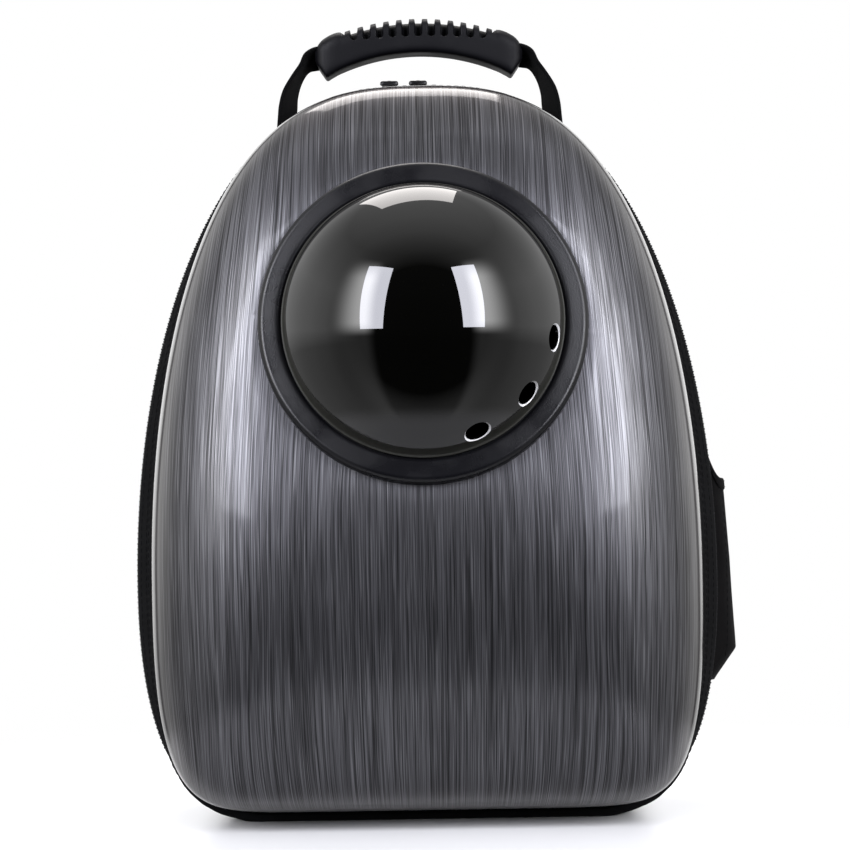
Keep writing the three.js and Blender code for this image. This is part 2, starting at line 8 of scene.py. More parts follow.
import bmesh
import bpy
import numpy as np
from mathutils import Matrix, Vector


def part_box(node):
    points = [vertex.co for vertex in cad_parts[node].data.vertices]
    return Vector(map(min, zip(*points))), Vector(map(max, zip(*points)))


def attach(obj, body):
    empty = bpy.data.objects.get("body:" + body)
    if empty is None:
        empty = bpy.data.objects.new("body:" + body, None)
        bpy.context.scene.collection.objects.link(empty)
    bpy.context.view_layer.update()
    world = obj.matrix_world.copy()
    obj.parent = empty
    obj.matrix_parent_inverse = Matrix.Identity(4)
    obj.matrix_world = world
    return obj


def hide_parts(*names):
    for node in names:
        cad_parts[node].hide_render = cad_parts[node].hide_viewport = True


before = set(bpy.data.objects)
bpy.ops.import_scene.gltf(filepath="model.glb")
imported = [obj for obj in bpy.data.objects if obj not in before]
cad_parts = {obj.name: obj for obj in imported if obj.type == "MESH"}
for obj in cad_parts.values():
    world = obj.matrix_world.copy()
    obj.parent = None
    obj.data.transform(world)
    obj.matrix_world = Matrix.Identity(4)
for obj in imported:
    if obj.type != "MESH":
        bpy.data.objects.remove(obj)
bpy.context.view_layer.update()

bl_info = {
    "name": "Pet Carrier Backpack",
    "version": (1, 0, 0),
    "blender": (4, 5, 0),
    "location": "3D View > Sidebar > Carrier",
    "description": "Builds the visible pieces and the stage of a bubble window pet carrier",
    "category": "Add Mesh",
}

MM = 0.001
ZIP_Y = -26.0  # where the plane of the zip stands, behind which lies the rear body
CLEARANCE = 0.3  # room between pieces that lie against each other
FLOOR_GAP = 0.05  # how far above the floor the lowest cloth stays
STITCH_LENGTH, STITCH_GAP, THREAD_RADIUS = 2.8, 1.3, 0.26
WEBBING_WIDTH, WEBBING_THICKNESS = 25.0, 2.0
WEBBING_PITCH, WEBBING_RELIEF = 0.0016, 0.0004  # metres, as the materials take them
SEAM_SHEEN, REAR_SHEEN, POCKET_SHEEN = 0.006, 0.014, 0.03
THREAD = 1  # finish of the stitches on a sewn piece, whose cloth is finish 0

# Outlines are two half superellipses that meet at the widest height. Upper and lower hold their powers in x and z.
ZIP_OUTLINE = {
    "half": 164, "widest": 133, "top": 413, "bottom": -2, "upper": (2.55, 2.0), "lower": (6.6, 2.2),
}
SHELL_OUTLINE = {
    "half": 152.7, "widest": 133, "top": 410.5, "bottom": 7.5, "upper": (2.8, 2.1), "lower": (9.8, 2.7),
}
OUTLINE_COUNT = 432

SHELL_RIM, SHELL_FRONT, SHELL_ROUNDNESS, SHELL_WALL, SHELL_ROLL = 22.0, 122.0, 3.5, 2.0, 1.6
LEAN_START, LEAN_RATE = 143.0, 0.0008
FILM_DRAW, FILM_WRAP = 0.0011, 0.35  # how the film's streaks spread down the dome and round its sides
ROLL_ROWS = 4  # rows of the rolled edge that the shell's inside leaves out
SEAT_Z, SEAT_DEPTH, SEAT_TILT = 275.2, 101.0, math.radians(13)
SEAT_RIM, SWELL_END, SEAT_ROUND, HOLE_RADIUS = 89.5, 150.0, 1.5, 75.0
LUG_ANGLES, LUG_SPAN, LUG_TURN, LUG_RADIUS = (45, 135, 225, 315), 18.0, 30.0, 79.0
LUG_TOP, LUG_THICKNESS = -2.8, 3.0
NOTCH_SIDE, NOTCH_ROOM = 2.0, 0.6  # room for a lug in its notch, in degrees at each side and outwards

RING_OUTER, RING_BORE, RING_LEDGE, RING_LEDGE_HEIGHT = 88.5, 76.0, 70.5, 8.5
DOME_RADIUS, DOME_WALL, DOME_RIM_RADIUS, DOME_RIM_HEIGHT, SATIN_RIM = 78.0, 2.5, 75.3, 12.0, 72.7
VENT_ANGLES, VENT_POLAR, VENT_RADIUS, VENT_CHAMFER = (-12, -39.5, -67), 66.0, 6.7, 1.0
DOME_END = 72.8  # radius at which the bubble's sphere runs out into its flange
DOME_FLATTER = 10.0  # how far behind the bubble's middle its shading normals meet
# The finish of the vents' edges is pale grey, a painted glint.
SMOKE, PAINTED_GLINT, SATIN = 0, 1, 2  # finishes of the bubble
RING_SIDES, DOME_SIDES, VENT_SIDES = 240, 192, 48

SEAM_LOW_TOP, SEAM_LOW_BOTTOM = 55.0, 15.0
SEAM_SEWN, REAR_SEWN = 20.0, 14.0  # heights at which rows of stitches start
REAR_FRONT, REAR_DEPTH, REAR_WALL, REAR_BOXINESS = -3.3, 112.0, 5.0, 6.0
REAR_DRAFT, REAR_CENTRE, REAR_SINK, REAR_SINK_HEIGHT = 0.03, 195.0, 4.0, 10.0
BACK = REAR_FRONT - REAR_DEPTH
GRIP_DEPTH = -25.0


# Numbers and lines


def place(x, depth, z):
    """Points in the part's frame, from x, the depth before the zip's plane, and height."""
    x, depth, z = np.broadcast_arrays(np.asarray(x, float), np.asarray(depth, float), np.asarray(z, float))
    return np.stack([x, ZIP_Y - depth, z], axis=-1)


def smooth(value, low=0.0, high=1.0):
    """0 at low, 1 at high, and a soft turn at both."""
    share = np.clip((value - low) / (high - low), 0, 1)
    return share * share * (3 - 2 * share)


def unit(vectors):
    """Vectors brought to a length of one."""
    return vectors / np.maximum(np.linalg.norm(vectors, axis=-1, keepdims=True), 1e-12)


def even(points, count, closed=False):
    """Points spaced evenly along a line."""
    line = np.vstack([points, points[:1]]) if closed else np.asarray(points, float)
    lengths = np.concatenate([[0], np.cumsum(np.linalg.norm(np.diff(line, axis=0), axis=1))])
    at = np.linspace(0, lengths[-1], count, endpoint=not closed)
    return np.stack([np.interp(at, lengths, column) for column in line.T], axis=1)


def flowing(points, count):
    """An evenly spaced smooth line through a few points."""
    p = np.asarray(points, float)
    p = np.vstack([2 * p[0] - p[1], p, 2 * p[-1] - p[-2]])
    fine = []
    for a, b, c, d in zip(p, p[1:], p[2:], p[3:]):
        t = np.linspace(0, 1, 40, endpoint=False)[:, None]
        fine.append(0.5 * (2 * b + (c - a) * t + (2 * a - 5 * b + 4 * c - d) * t**2
                           + (3 * b - a - 3 * c + d) * t**3))
    fine.append(p[-2:-1])
    return even(np.vstack(fine), count)


def outline(shape):
    """Points (x, z) of an outline, evenly spaced from the middle of the bottom round by +X."""
    angle = np.linspace(0, math.pi / 2, 1500)
    half = []
    for end, powers, turn in (("bottom", "lower", angle[::-1]), ("top", "upper", angle)):
        px, pz = shape[powers]
        x = shape["half"] * np.clip(np.cos(turn), 0, 1) ** (2 / px)
        z = shape["widest"] + (shape[end] - shape["widest"]) * np.sin(turn) ** (2 / pz)
        half.append(np.stack([x, z], axis=1))
    half = np.vstack(half)
    half[:, 1] = np.maximum(half[:, 1], 0)
    half = even(half, OUTLINE_COUNT // 2 + 1)
    return np.vstack([half, half[-2:0:-1] * (-1, 1)])


def outwards(points):
    """Unit vectors that point out of a closed outline, in its own plane."""
    along = np.roll(points, -1, axis=0) - np.roll(points, 1, axis=0)
    return unit(np.stack([along[:, 1], -along[:, 0]], axis=1))


def outside_of(rows, middle):
    """Unit vectors that point out of a surface, away from a middle point."""
    along = np.roll(rows, -1, axis=1) - np.roll(rows, 1, axis=1)
    normals = unit(np.cross(np.gradient(rows, axis=0), along))
    return normals * np.sign(np.sum(normals * (rows - middle), axis=-1, keepdims=True))


def shared_out(vectors, count):
    """Vectors along a line, taken at evenly shared places."""
    at = np.linspace(0, len(vectors) - 1, count)
    return np.stack([np.interp(at, np.arange(len(vectors)), column) for column in np.asarray(vectors).T], axis=1)


zip_outline, shell_outline = outline(ZIP_OUTLINE), outline(SHELL_OUTLINE)
zip_out = outwards(zip_outline)


def seam_loop(share, offset, depth):
    """A loop between the shell's edge, share 0, and the zip, share 1. Low down all of it runs to the zip."""
    low = np.clip((SEAM_LOW_TOP - shell_outline[:, 1]) / (SEAM_LOW_TOP - SEAM_LOW_BOTTOM), 0, 1)[:, None]
    loop = shell_outline + (zip_outline - shell_outline) * (share + (1 - share) * low) + zip_out * offset
    return place(loop[:, 0], depth, np.maximum(loop[:, 1], FLOOR_GAP))


def ripple(at, *waves):
    """A sum of sines, as (height, cycles, phase), over a share of a closed line."""
    return sum(height * np.sin(2 * math.pi * (cycles * at + phase)) for height, cycles, phase in waves)


# Meshes


class Form:
    """The surfaces of one piece, gathered as points in millimetres, faces and cloth coordinates in metres."""

    def __init__(self):
        self.points, self.faces, self.uvs, self.finishes, self.count = [], [], [], [], 0

    def add(self, points, faces, uvs, finish):
        self.points.append(np.asarray(points, float).reshape(-1, 3))
        self.faces += [tuple(i + self.count for i in face) for face in faces]
        self.uvs += uvs
        self.finishes += [finish] * len(faces)
        self.count += len(self.points[-1])

    def grid(self, points, ring=False, caps=False, finish=0, uv=None):
        """A surface through rows of points. Each row closes on itself, and with ring the last row meets the first."""
        points = np.asarray(points, float)
        rows, columns = points.shape[:2]
        line = np.concatenate([points, points[:, :1]], axis=1)
        stack = np.concatenate([line, line[:1]], axis=0) if ring else line
        if uv is None:
            u = np.linalg.norm(np.diff(stack, axis=1), axis=2).mean(axis=0)
            v = np.linalg.norm(np.diff(stack, axis=0), axis=2).mean(axis=1)
            u, v = np.concatenate([[0], np.cumsum(u)]), np.concatenate([[0], np.cumsum(v)])
            uv = np.stack(np.meshgrid(u, v), axis=-1) * MM
        faces, uvs = [], []
        for r in range(rows if ring else rows - 1):
            for c in range(columns):
                corners = ((r, c), (r, c + 1), (r + 1, c + 1), (r + 1, c))
                faces.append([(i % rows) * columns + j % columns for i, j in corners])
                uvs.append([uv[i][j] for i, j in corners])
        if caps:
            for row in (0, rows - 1):
                faces.append([row * columns + c for c in range(columns)])
                uvs.append([uv[row][c] for c in range(columns)])
        self.add(points, faces, uvs, finish)

    def stitches(self, line, out):
        """A run of thread stitches that lie along a line of points, sunk a little under its outward side."""
        total = np.linalg.norm(np.diff(line, axis=0), axis=1).sum()
        number = max(int(total / (STITCH_LENGTH + STITCH_GAP)), 2)
        middles, outs = even(line, number), unit(shared_out(out, number))
        along = unit(np.gradient(middles, axis=0))
        across = unit(np.cross(outs, along))
        ends = np.array([-0.5, -0.42, -0.2, 0.2, 0.42, 0.5]) * STITCH_LENGTH
        girth = np.array([0.25, 0.75, 1, 1, 0.75, 0.25]) * THREAD_RADIUS
        turn = np.linspace(0, 2 * math.pi, 6, endpoint=False)
        for middle, a, b, o in zip(middles, along, across, outs):
            rows = [middle + a * end + np.outer(np.cos(turn), b) * r + np.outer(np.sin(turn) + 0.35, o) * r
                    for end, r in zip(ends, girth)]
            self.grid(rows, caps=True, finish=THREAD)

    def piece(self, name, materials, body="carrier", slot=None, replaces=(), sharp=40):
        """The finished object, riding on its body."""
        mesh = bpy.data.meshes.new(name)
        mesh.from_pydata((np.vstack(self.points) * MM).tolist(), [], self.faces)
        layer = mesh.uv_layers.new(name="UVMap")
        layer.data.foreach_set("uv", np.concatenate([np.asarray(c, float).ravel() for c in self.uvs]))
        for material in materials:
            mesh.materials.append(material)
        mesh.polygons.foreach_set("material_index", self.finishes)
        edit = bmesh.new()
        edit.from_mesh(mesh)
        bmesh.ops.recalc_face_normals(edit, faces=edit.faces)
        edit.to_mesh(mesh)
        edit.free()
        mesh.shade_smooth()
        mesh.set_sharp_from_angle(angle=math.radians(sharp))
        return fit(bpy.data.objects.new(name, mesh), body, replaces)


def fit(piece, body, replaces):
    """Links a piece, hangs it from an empty named for the body that it rides on, and hides the nodes that it stands
    for.
    """
    bpy.context.scene.collection.objects.link(piece)
    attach(piece, body)
    if replaces:
        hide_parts(*replaces)
    return piece


def bands(path, across, section):
    """Rows of a flat section, as (width, thickness) points, carried along a path."""
    along = unit(np.gradient(path, axis=0))
    out = unit(np.cross(along, across))
    wide = unit(np.cross(out, along))
    section = np.asarray(section)
    return (path[:, None] + wide[:, None] * section[None, :, :1] + out[:, None] * section[None, :, 1:]), out, wide


def webbing_section():
    """The flat section of webbing, with rounded edges."""
    turn = np.linspace(-math.pi / 2, math.pi / 2, 9)
    bend = WEBBING_THICKNESS / 2
    half = WEBBING_WIDTH / 2 - bend
    edge = np.stack([half + np.cos(turn) * bend, np.sin(turn) * bend], axis=1)
    flat = np.linspace(1, -1, 12)[1:-1, None] * [half, 0]
    top = flat + [0, bend]
    return np.vstack([edge, top, edge[::-1] * (-1, 1), -top])


def lathe(profile, sides):
    """Rows round the z axis from a closed profile of (radius, height) points."""
    turn = np.linspace(0, 2 * math.pi, sides, endpoint=False)
    radius, height = np.asarray(profile, float).T
    return np.stack([radius[:, None] * np.cos(turn), radius[:, None] * np.sin(turn),
                     np.repeat(height[:, None], sides, axis=1)], axis=-1)


def seat_frame(points):
    """Points from the window's own frame, z out of its seat and y up the shell, in the part's frame."""
    x, y, z = np.moveaxis(np.asarray(points, float), -1, 0)
    c, s = math.cos(SEAT_TILT), math.sin(SEAT_TILT)
    return np.stack([x, ZIP_Y - SEAT_DEPTH - c * z + s * y, SEAT_Z + s * z + c * y], axis=-1)


def rounded(corners, radius, steps=5):
    """A closed polygon of (a, b) corners with each corner turned on an arc-like curve."""
    corners = np.asarray(corners, float)
    points = []
    for before, corner, after in zip(np.roll(corners, 1, axis=0), corners, np.roll(corners, -1, axis=0)):
        back, on = unit(before - corner), unit(after - corner)
        reach = min(radius, 0.49 * np.linalg.norm(before - corner), 0.49 * np.linalg.norm(after - corner))
        start, end = corner + back * reach, corner + on * reach
        for t in np.linspace(0, 1, steps):
            points.append((1 - t) ** 2 * start + 2 * t * (1 - t) * corner + t**2 * end)
    return np.array(points)


# Shader nodes


def node(tree, kind, inputs=None, **settings):
    """A node with its settings, and its inputs linked or set."""
    made = tree.nodes.new(kind)
    for name, value in settings.items():
        setattr(made, name, value)
    for name, value in (inputs or {}).items():
        if isinstance(value, bpy.types.NodeSocket):
            tree.links.new(value, made.inputs[name])
        else:
            made.inputs[name].default_value = value
    return made


def maths(tree, operation, a, b=0.0, c=0.0):
    """The result of one operation on values."""
    return node(tree, "ShaderNodeMath", {0: a, 1: b, 2: c}, operation=operation).outputs[0]


def spread(tree, value, low, high, to_low=0.0, to_high=1.0, kind="SMOOTHSTEP"):
    """A value carried from one range to another, softly unless the kind says otherwise."""
    inputs = {"Value": value, "From Min": low, "From Max": high, "To Min": to_low, "To Max": to_high}
    return node(tree, "ShaderNodeMapRange", inputs, interpolation_type=kind).outputs["Result"]


def blend(tree, share, a, b):
    """A colour between two."""
    mixed = node(tree, "ShaderNodeMix", {0: share, 6: a, 7: b}, data_type="RGBA")
    return mixed.outputs[2]


def stretch(tree, vector, scale):
    """A vector with each of its axes scaled."""
    return node(tree, "ShaderNodeVectorMath", {0: vector, 1: scale}, operation="MULTIPLY").outputs[0]


def noise(tree, vector, scale=1.0, detail=2.0, roughness=0.5):
    """Cloudy noise of about 0 to 1."""
    inputs = {"Vector": vector, "Scale": scale, "Detail": detail, "Roughness": roughness}
    return node(tree, "ShaderNodeTexNoise", inputs).outputs["Fac"]


def group(name, inputs, outputs):
    """An empty node group with its sockets, and its input and output nodes."""
    tree = bpy.data.node_groups.new(name, "ShaderNodeTree")
    for socket, kind, default in inputs:
        made = tree.interface.new_socket(socket, in_out="INPUT", socket_type=kind)
        if default is not None:
            made.default_value = default
    for socket in outputs:
        tree.interface.new_socket(socket, in_out="OUTPUT", socket_type="NodeSocketFloat")
    return tree, tree.nodes.new("NodeGroupInput"), tree.nodes.new("NodeGroupOutput")


def use(tree, name, inputs):
    """The outputs of a shared effect, placed with its own values."""
    return node(tree, "ShaderNodeGroup", inputs, node_tree=bpy.data.node_groups[name]).outputs


def weave_group():
    """Cloth Weave: crossing threads on the cloth's own coordinates, with uneven dye and a little fuzz, and a tone
    that is darker where the weave lies low, as painted shade between the threads.
    """
    tree, enter, leave = group("Cloth Weave", [
        ("Vector", "NodeSocketVector", None), ("Pitch", "NodeSocketFloat", 0.001),
    ], ("Height", "Tone"))
    scale = maths(tree, "DIVIDE", 2 * math.pi, enter.outputs["Pitch"])
    threads = node(tree, "ShaderNodeVectorMath", {0: enter.outputs["Vector"], "Scale": scale}, operation="SCALE")
    axes = node(tree, "ShaderNodeSeparateXYZ", {0: threads.outputs[0]}).outputs
    crossing = maths(tree, "MULTIPLY", maths(tree, "SINE", axes["X"]), maths(tree, "SINE", axes["Y"]))
    fuzz = noise(tree, enter.outputs["Vector"], 2600.0, 2.0)
    height = maths(tree, "MULTIPLY_ADD", crossing, 0.5, 0.5)
    tree.links.new(maths(tree, "ADD", height, maths(tree, "MULTIPLY", fuzz, 0.35)), leave.inputs["Height"])
    dye = noise(tree, enter.outputs["Vector"], 28.0, 4.0)
    # The tone adds the weave's height to the dye, so the low parts between threads are darker: painted shade.
    tree.links.new(maths(tree, "ADD", maths(tree, "MULTIPLY", dye, 0.7), maths(tree, "MULTIPLY", height, 0.3)),
                   leave.inputs["Tone"])


def grain_group():
    """Moulded Grain: the fine spark-eroded skin of a moulding, with patches where it is rubbed smoother."""
    tree, enter, leave = group("Moulded Grain", [
        ("Vector", "NodeSocketVector", None), ("Size", "NodeSocketFloat", 0.0008),
    ], ("Height", "Rubbed"))
    scale = maths(tree, "DIVIDE", 1.0, enter.outputs["Size"])
    pebbles = node(tree, "ShaderNodeTexVoronoi", {"Vector": enter.outputs["Vector"], "Scale": scale},
                   feature="SMOOTH_F1").outputs["Distance"]
    speckle = noise(tree, enter.outputs["Vector"], scale, 3.0, 0.6)
    tree.links.new(maths(tree, "ADD", pebbles, speckle), leave.inputs["Height"])
    tree.links.new(spread(tree, noise(tree, enter.outputs["Vector"], 34.0, 4.0), 0.35, 0.7), leave.inputs["Rubbed"])


def dust_group():
    """Settled Dust: sparse pale specks and a thin film where the surface faces up, and light on worn edges."""
    tree, enter, leave = group("Settled Dust", [
        ("Vector", "NodeSocketVector", None), ("Amount", "NodeSocketFloat", 0.3), ("Wear", "NodeSocketFloat", 0.3),
    ], ("Dust", "Edge"))
    shape = node(tree, "ShaderNodeNewGeometry").outputs
    up = node(tree, "ShaderNodeSeparateXYZ", {0: shape["Normal"]}).outputs["Z"]
    cover = noise(tree, enter.outputs["Vector"], 60.0, 5.0, 0.65)
    film = maths(tree, "MULTIPLY", spread(tree, up, 0.1, 1.0), cover)
    specks = spread(tree, noise(tree, enter.outputs["Vector"], 900.0, 1.0), 0.74, 0.8)
    dust = maths(tree, "ADD", maths(tree, "MULTIPLY", film, 0.5), maths(tree, "MULTIPLY", specks, 0.5))
    tree.links.new(maths(tree, "MULTIPLY", dust, enter.outputs["Amount"]), leave.inputs["Dust"])
    edge = spread(tree, shape["Pointiness"], 0.53, 0.62)
    broken = maths(tree, "MULTIPLY", edge, noise(tree, enter.outputs["Vector"], 240.0, 4.0))
    tree.links.new(maths(tree, "MULTIPLY", broken, enter.outputs["Wear"]), leave.inputs["Edge"])


def material(name):
    """A new material with its tree, its shader and the cloth and object coordinates."""
    made = bpy.data.materials.new(name)
    made.use_nodes = True
    tree = made.node_tree
    shader = tree.nodes["Principled BSDF"]
    coordinates = node(tree, "ShaderNodeTexCoord").outputs
    return made, tree, shader, coordinates


def raise_bump(tree, shader, height, strength, distance):
    """Fine relief on a shader's normals."""
    bump = node(tree, "ShaderNodeBump", {"Height": height, "Strength": strength, "Distance": distance})
    tree.links.new(bump.outputs["Normal"], shader.inputs["Normal"])


def film_material(look):
    """Printed gunmetal film with fine streaks that follow the film, under the shell's clear gloss."""
    made, tree, shader, coordinates = material("brushed_film")
    film = coordinates["UV"]
    fine = noise(tree, stretch(tree, film, (1500, 11, 1)), 1.0, 3.0, 0.65)
    broad = noise(tree, stretch(tree, film, (640, 4, 1)), 1.0, 2.0)
    cloud = noise(tree, stretch(tree, film, (60, 3.5, 1)), 1.0, 2.0)
    hairs = noise(tree, stretch(tree, film, (2100, 17, 1)), 1.0, 1.0)
    tone = maths(tree, "ADD", maths(tree, "MULTIPLY", fine, 0.62), maths(tree, "MULTIPLY", broad, 0.3))
    tone = maths(tree, "ADD", tone, maths(tree, "MULTIPLY", cloud, 0.08))
    tone = spread(tree, tone, 0.38, 0.67)
    ink = blend(tree, tone, look.film_dark[:] + (1,), look.film_light[:] + (1,))
    ink = blend(tree, maths(tree, "MULTIPLY", spread(tree, hairs, 0.55, 0.7), 0.6), ink, look.film_hair[:] + (1,))
    tree.links.new(ink, shader.inputs["Base Color"])
    tree.links.new(spread(tree, fine, 0.2, 0.8, 0.47, 0.37), shader.inputs["Roughness"])
    raise_bump(tree, shader, fine, 0.12, 0.0002)
    shader.inputs["Metallic"].default_value = 0.85
    shader.inputs["Specular Tint"].default_value = (0.42, 0.38, 0.36, 1)
    shader.inputs["Anisotropic"].default_value = 0.4
    aslant = node(tree, "ShaderNodeLayerWeight").outputs["Facing"]
    facing = spread(tree, aslant, 0.32, 0.62, 1.0, 0.0)
    thinner = maths(tree, "MULTIPLY", facing, spread(tree, tone, 0.0, 1.0, 0.82, 0.6))
    tree.links.new(maths(tree, "SUBTRACT", 1.0, thinner), shader.inputs["Coat Weight"])
    shader.inputs["Coat Roughness"].default_value = look.gloss_roughness
    return made


def moulding_material(name, colour, roughness, grain, gloss):
    """Charcoal moulded plastic with a fine grain, paler on worn edges."""
    made, tree, shader, coordinates = material(name)
    skin = use(tree, "Moulded Grain", {"Vector": coordinates["Object"], "Size": grain})
    dust = use(tree, "Settled Dust", {"Vector": coordinates["Object"], "Amount": 0.02, "Wear": 0.4})
    worn = blend(tree, dust["Edge"], colour + (1,), tuple(min(4 * c, 1) for c in colour) + (1,))
    tree.links.new(blend(tree, dust["Dust"], worn, (0.3, 0.3, 0.3, 1)), shader.inputs["Base Color"])
    rubbed = spread(tree, skin["Rubbed"], 0.0, 1.0, roughness + 0.06, roughness - 0.05)
    tree.links.new(rubbed, shader.inputs["Roughness"])
    raise_bump(tree, shader, skin["Height"], 0.35, 0.00009)
    shader.inputs["Specular IOR Level"].default_value = gloss
    return made


def smoke_material(look):
    """Dark smoked acrylic, polished, with a breath of dust."""
    made, tree, shader, coordinates = material("smoked_acrylic")
    dust = use(tree, "Settled Dust", {"Vector": coordinates["Object"], "Amount": 0.01, "Wear": 0.0})
    dusty = blend(tree, dust["Dust"], look.smoke[:] + (1,), (0.3, 0.29, 0.28, 1))
    tree.links.new(dusty, shader.inputs["Base Color"])
    tree.links.new(spread(tree, dust["Dust"], 0.0, 0.01, 0.015, 0.08), shader.inputs["Roughness"])
    shader.inputs["IOR"].default_value = 1.49
    return made


def vent_edge_painted_glint_material():
    """The vents' turned and polished edges, glossy, and pale grey as a painted glint where they catch the light."""
    made, tree, shader, coordinates = material("polished_vent_edge")
    turned = noise(tree, coordinates["Object"], 600.0, 2.0)
    # Pale grey edge colour: a painted glint over a real glossy polish.
    tree.links.new(blend(tree, turned, (0.4, 0.4, 0.4, 1), (0.7, 0.7, 0.71, 1)), shader.inputs["Base Color"])
    tree.links.new(spread(tree, turned, 0.0, 1.0, 0.12, 0.3), shader.inputs["Roughness"])
    return made


def satin_rim_material(look):
    """The bubble's moulded rim, satin instead of polished."""
    made, tree, shader, coordinates = material("satin_rim")
    drawn = noise(tree, coordinates["Object"], 500.0, 2.0)
    tint = tuple(20 * c for c in look.smoke[:])
    tinted = blend(tree, drawn, tint + (1,), tuple(1.5 * c for c in tint) + (1,))
    tree.links.new(tinted, shader.inputs["Base Color"])
    tree.links.new(spread(tree, drawn, 0.0, 1.0, 0.3, 0.4), shader.inputs["Roughness"])
    return made


def cloth_material(name, colour, pitch, sheen, height=0.00025):
    """Black woven cloth on the piece's own cloth coordinates."""
    made, tree, shader, coordinates = material(name)
    weave = use(tree, "Cloth Weave", {"Vector": coordinates["UV"], "Pitch": pitch})
    dust = use(tree, "Settled Dust", {"Vector": coordinates["Object"], "Amount": 0.015, "Wear": 0.12})
    light = tuple(min(1.9 * c + 0.001, 1) for c in colour)
    # The weave's tone holds uneven dye and painted shade between the threads.
    dyed = blend(tree, spread(tree, weave["Tone"], 0.25, 0.75), colour + (1,), light + (1,))
    dyed = blend(tree, dust["Edge"], dyed, tuple(5 * c for c in colour) + (1,))
    tree.links.new(blend(tree, dust["Dust"], dyed, (0.22, 0.22, 0.22, 1)), shader.inputs["Base Color"])
    tree.links.new(spread(tree, weave["Height"], 0.0, 1.3, 0.95, 0.7), shader.inputs["Roughness"])
    raise_bump(tree, shader, weave["Height"], 0.7, height)
    shader.inputs["Sheen Weight"].default_value = sheen
    shader.inputs["Sheen Roughness"].default_value = 0.5
    shader.inputs["Specular IOR Level"].default_value = 0.04
    return made


def thread_material(colour):
    """Twisted sewing thread."""
    made, tree, shader, coordinates = material("sewing_thread")
    twist = node(tree, "ShaderNodeTexWave", {"Vector": coordinates["Object"], "Scale": 900.0, "Distortion": 1.0},
                 bands_direction="DIAGONAL").outputs["Fac"]
    dyed = blend(tree, twist, colour + (1,), tuple(1.8 * c for c in colour) + (1,))
    tree.links.new(dyed, shader.inputs["Base Color"])
    tree.links.new(spread(tree, twist, 0.0, 1.0, 0.8, 0.6), shader.inputs["Roughness"])
    shader.inputs["Specular IOR Level"].default_value = 0.06
    return made


def rear_thread_material(look):
    """Thread for the rear cloth, a little paler than the cloth, and like that cloth lightened as painted light."""
    return thread_material(tuple(1.4 * c for c in look.rear_cloth))


def zip_material(name, colour, roughness):
    """Moulded zip plastic, brighter where the teeth rub."""
    made, tree, shader, coordinates = material(name)
    dust = use(tree, "Settled Dust", {"Vector": coordinates["Object"], "Amount": 0.08, "Wear": 0.6})
    skin = use(tree, "Moulded Grain", {"Vector": coordinates["Object"], "Size": 0.0005})
    tree.links.new(blend(tree, dust["Edge"], colour + (1,), (0.012, 0.012, 0.013, 1)), shader.inputs["Base Color"])
    rubbed = spread(tree, skin["Rubbed"], 0.0, 1.0, roughness + 0.05, roughness - 0.08)
    tree.links.new(rubbed, shader.inputs["Roughness"])
    raise_bump(tree, shader, skin["Height"], 0.1, 0.00005)
    shader.inputs["Specular IOR Level"].default_value = 0.15
    return made


def floor_material():
    """Pale studio floor with a faint gloss that fades out around the carrier."""
    made, tree, shader, coordinates = material("studio_floor")
    patches = noise(tree, coordinates["Object"], 3.0, 3.0)
    pale = blend(tree, patches, (0.8, 0.8, 0.8, 1), (0.84, 0.84, 0.84, 1))
    seen = node(tree, "ShaderNodeLightPath").outputs["Is Camera Ray"]
    tree.links.new(blend(tree, seen, (0.48, 0.48, 0.48, 1), pale), shader.inputs["Base Color"])
    tree.links.new(spread(tree, patches, 0.0, 1.0, 0.2, 0.28), shader.inputs["Roughness"])
    reach = node(tree, "ShaderNodeVectorMath", {0: coordinates["Object"]}, operation="LENGTH").outputs["Value"]
    near, far = spread(tree, reach, 0.24, 0.34, 1.0, 0.0), spread(tree, reach, 0.28, 0.55, 1.0, 0.0)
    mixed = node(tree, "ShaderNodeMix", {0: seen, 2: near, 3: far})
    tree.links.new(mixed.outputs[0], shader.inputs["Alpha"])
    return made


# Properties


def colour_property(name, description, default):
    """A colour that a user may change."""
    return bpy.props.FloatVectorProperty(
        name=name, description=description, default=default, subtype="COLOR", size=3, min=0, max=1)


def pitch_property(name, description, default, least):
    """A small distance from one thread or tooth to the next."""
    return bpy.props.FloatProperty(
        name=name, description=description, default=default, min=least, unit="LENGTH", precision=5)


def power_property(name, description, default):
    """The power of a light."""
    return bpy.props.FloatProperty(name=name, description=description, default=default, min=0, unit="POWER")


class CarrierShellLook(bpy.types.PropertyGroup):
    """Finish of the hard shell and its window."""
    film_dark: colour_property("Dark streaks", "Colour of the film's darkest streaks", (0.014, 0.014, 0.0152))
    film_light: colour_property("Light streaks", "Colour of the film's palest streaks", (0.092, 0.092, 0.1))
    film_hair: colour_property("Hair lines", "Colour of the thin bright lines in the film", (0.16, 0.16, 0.17))
    gloss_roughness: bpy.props.FloatProperty(
        name="Gloss roughness", description="Roughness of the clear gloss over the film", default=0.1, min=0, max=1)
    moulding: colour_property("Moulding", "Colour of the ring and the grip", (0.0022, 0.0022, 0.003))
    smoke: colour_property("Smoke", "Colour of the smoked bubble", (0.0005, 0.0005, 0.0004))


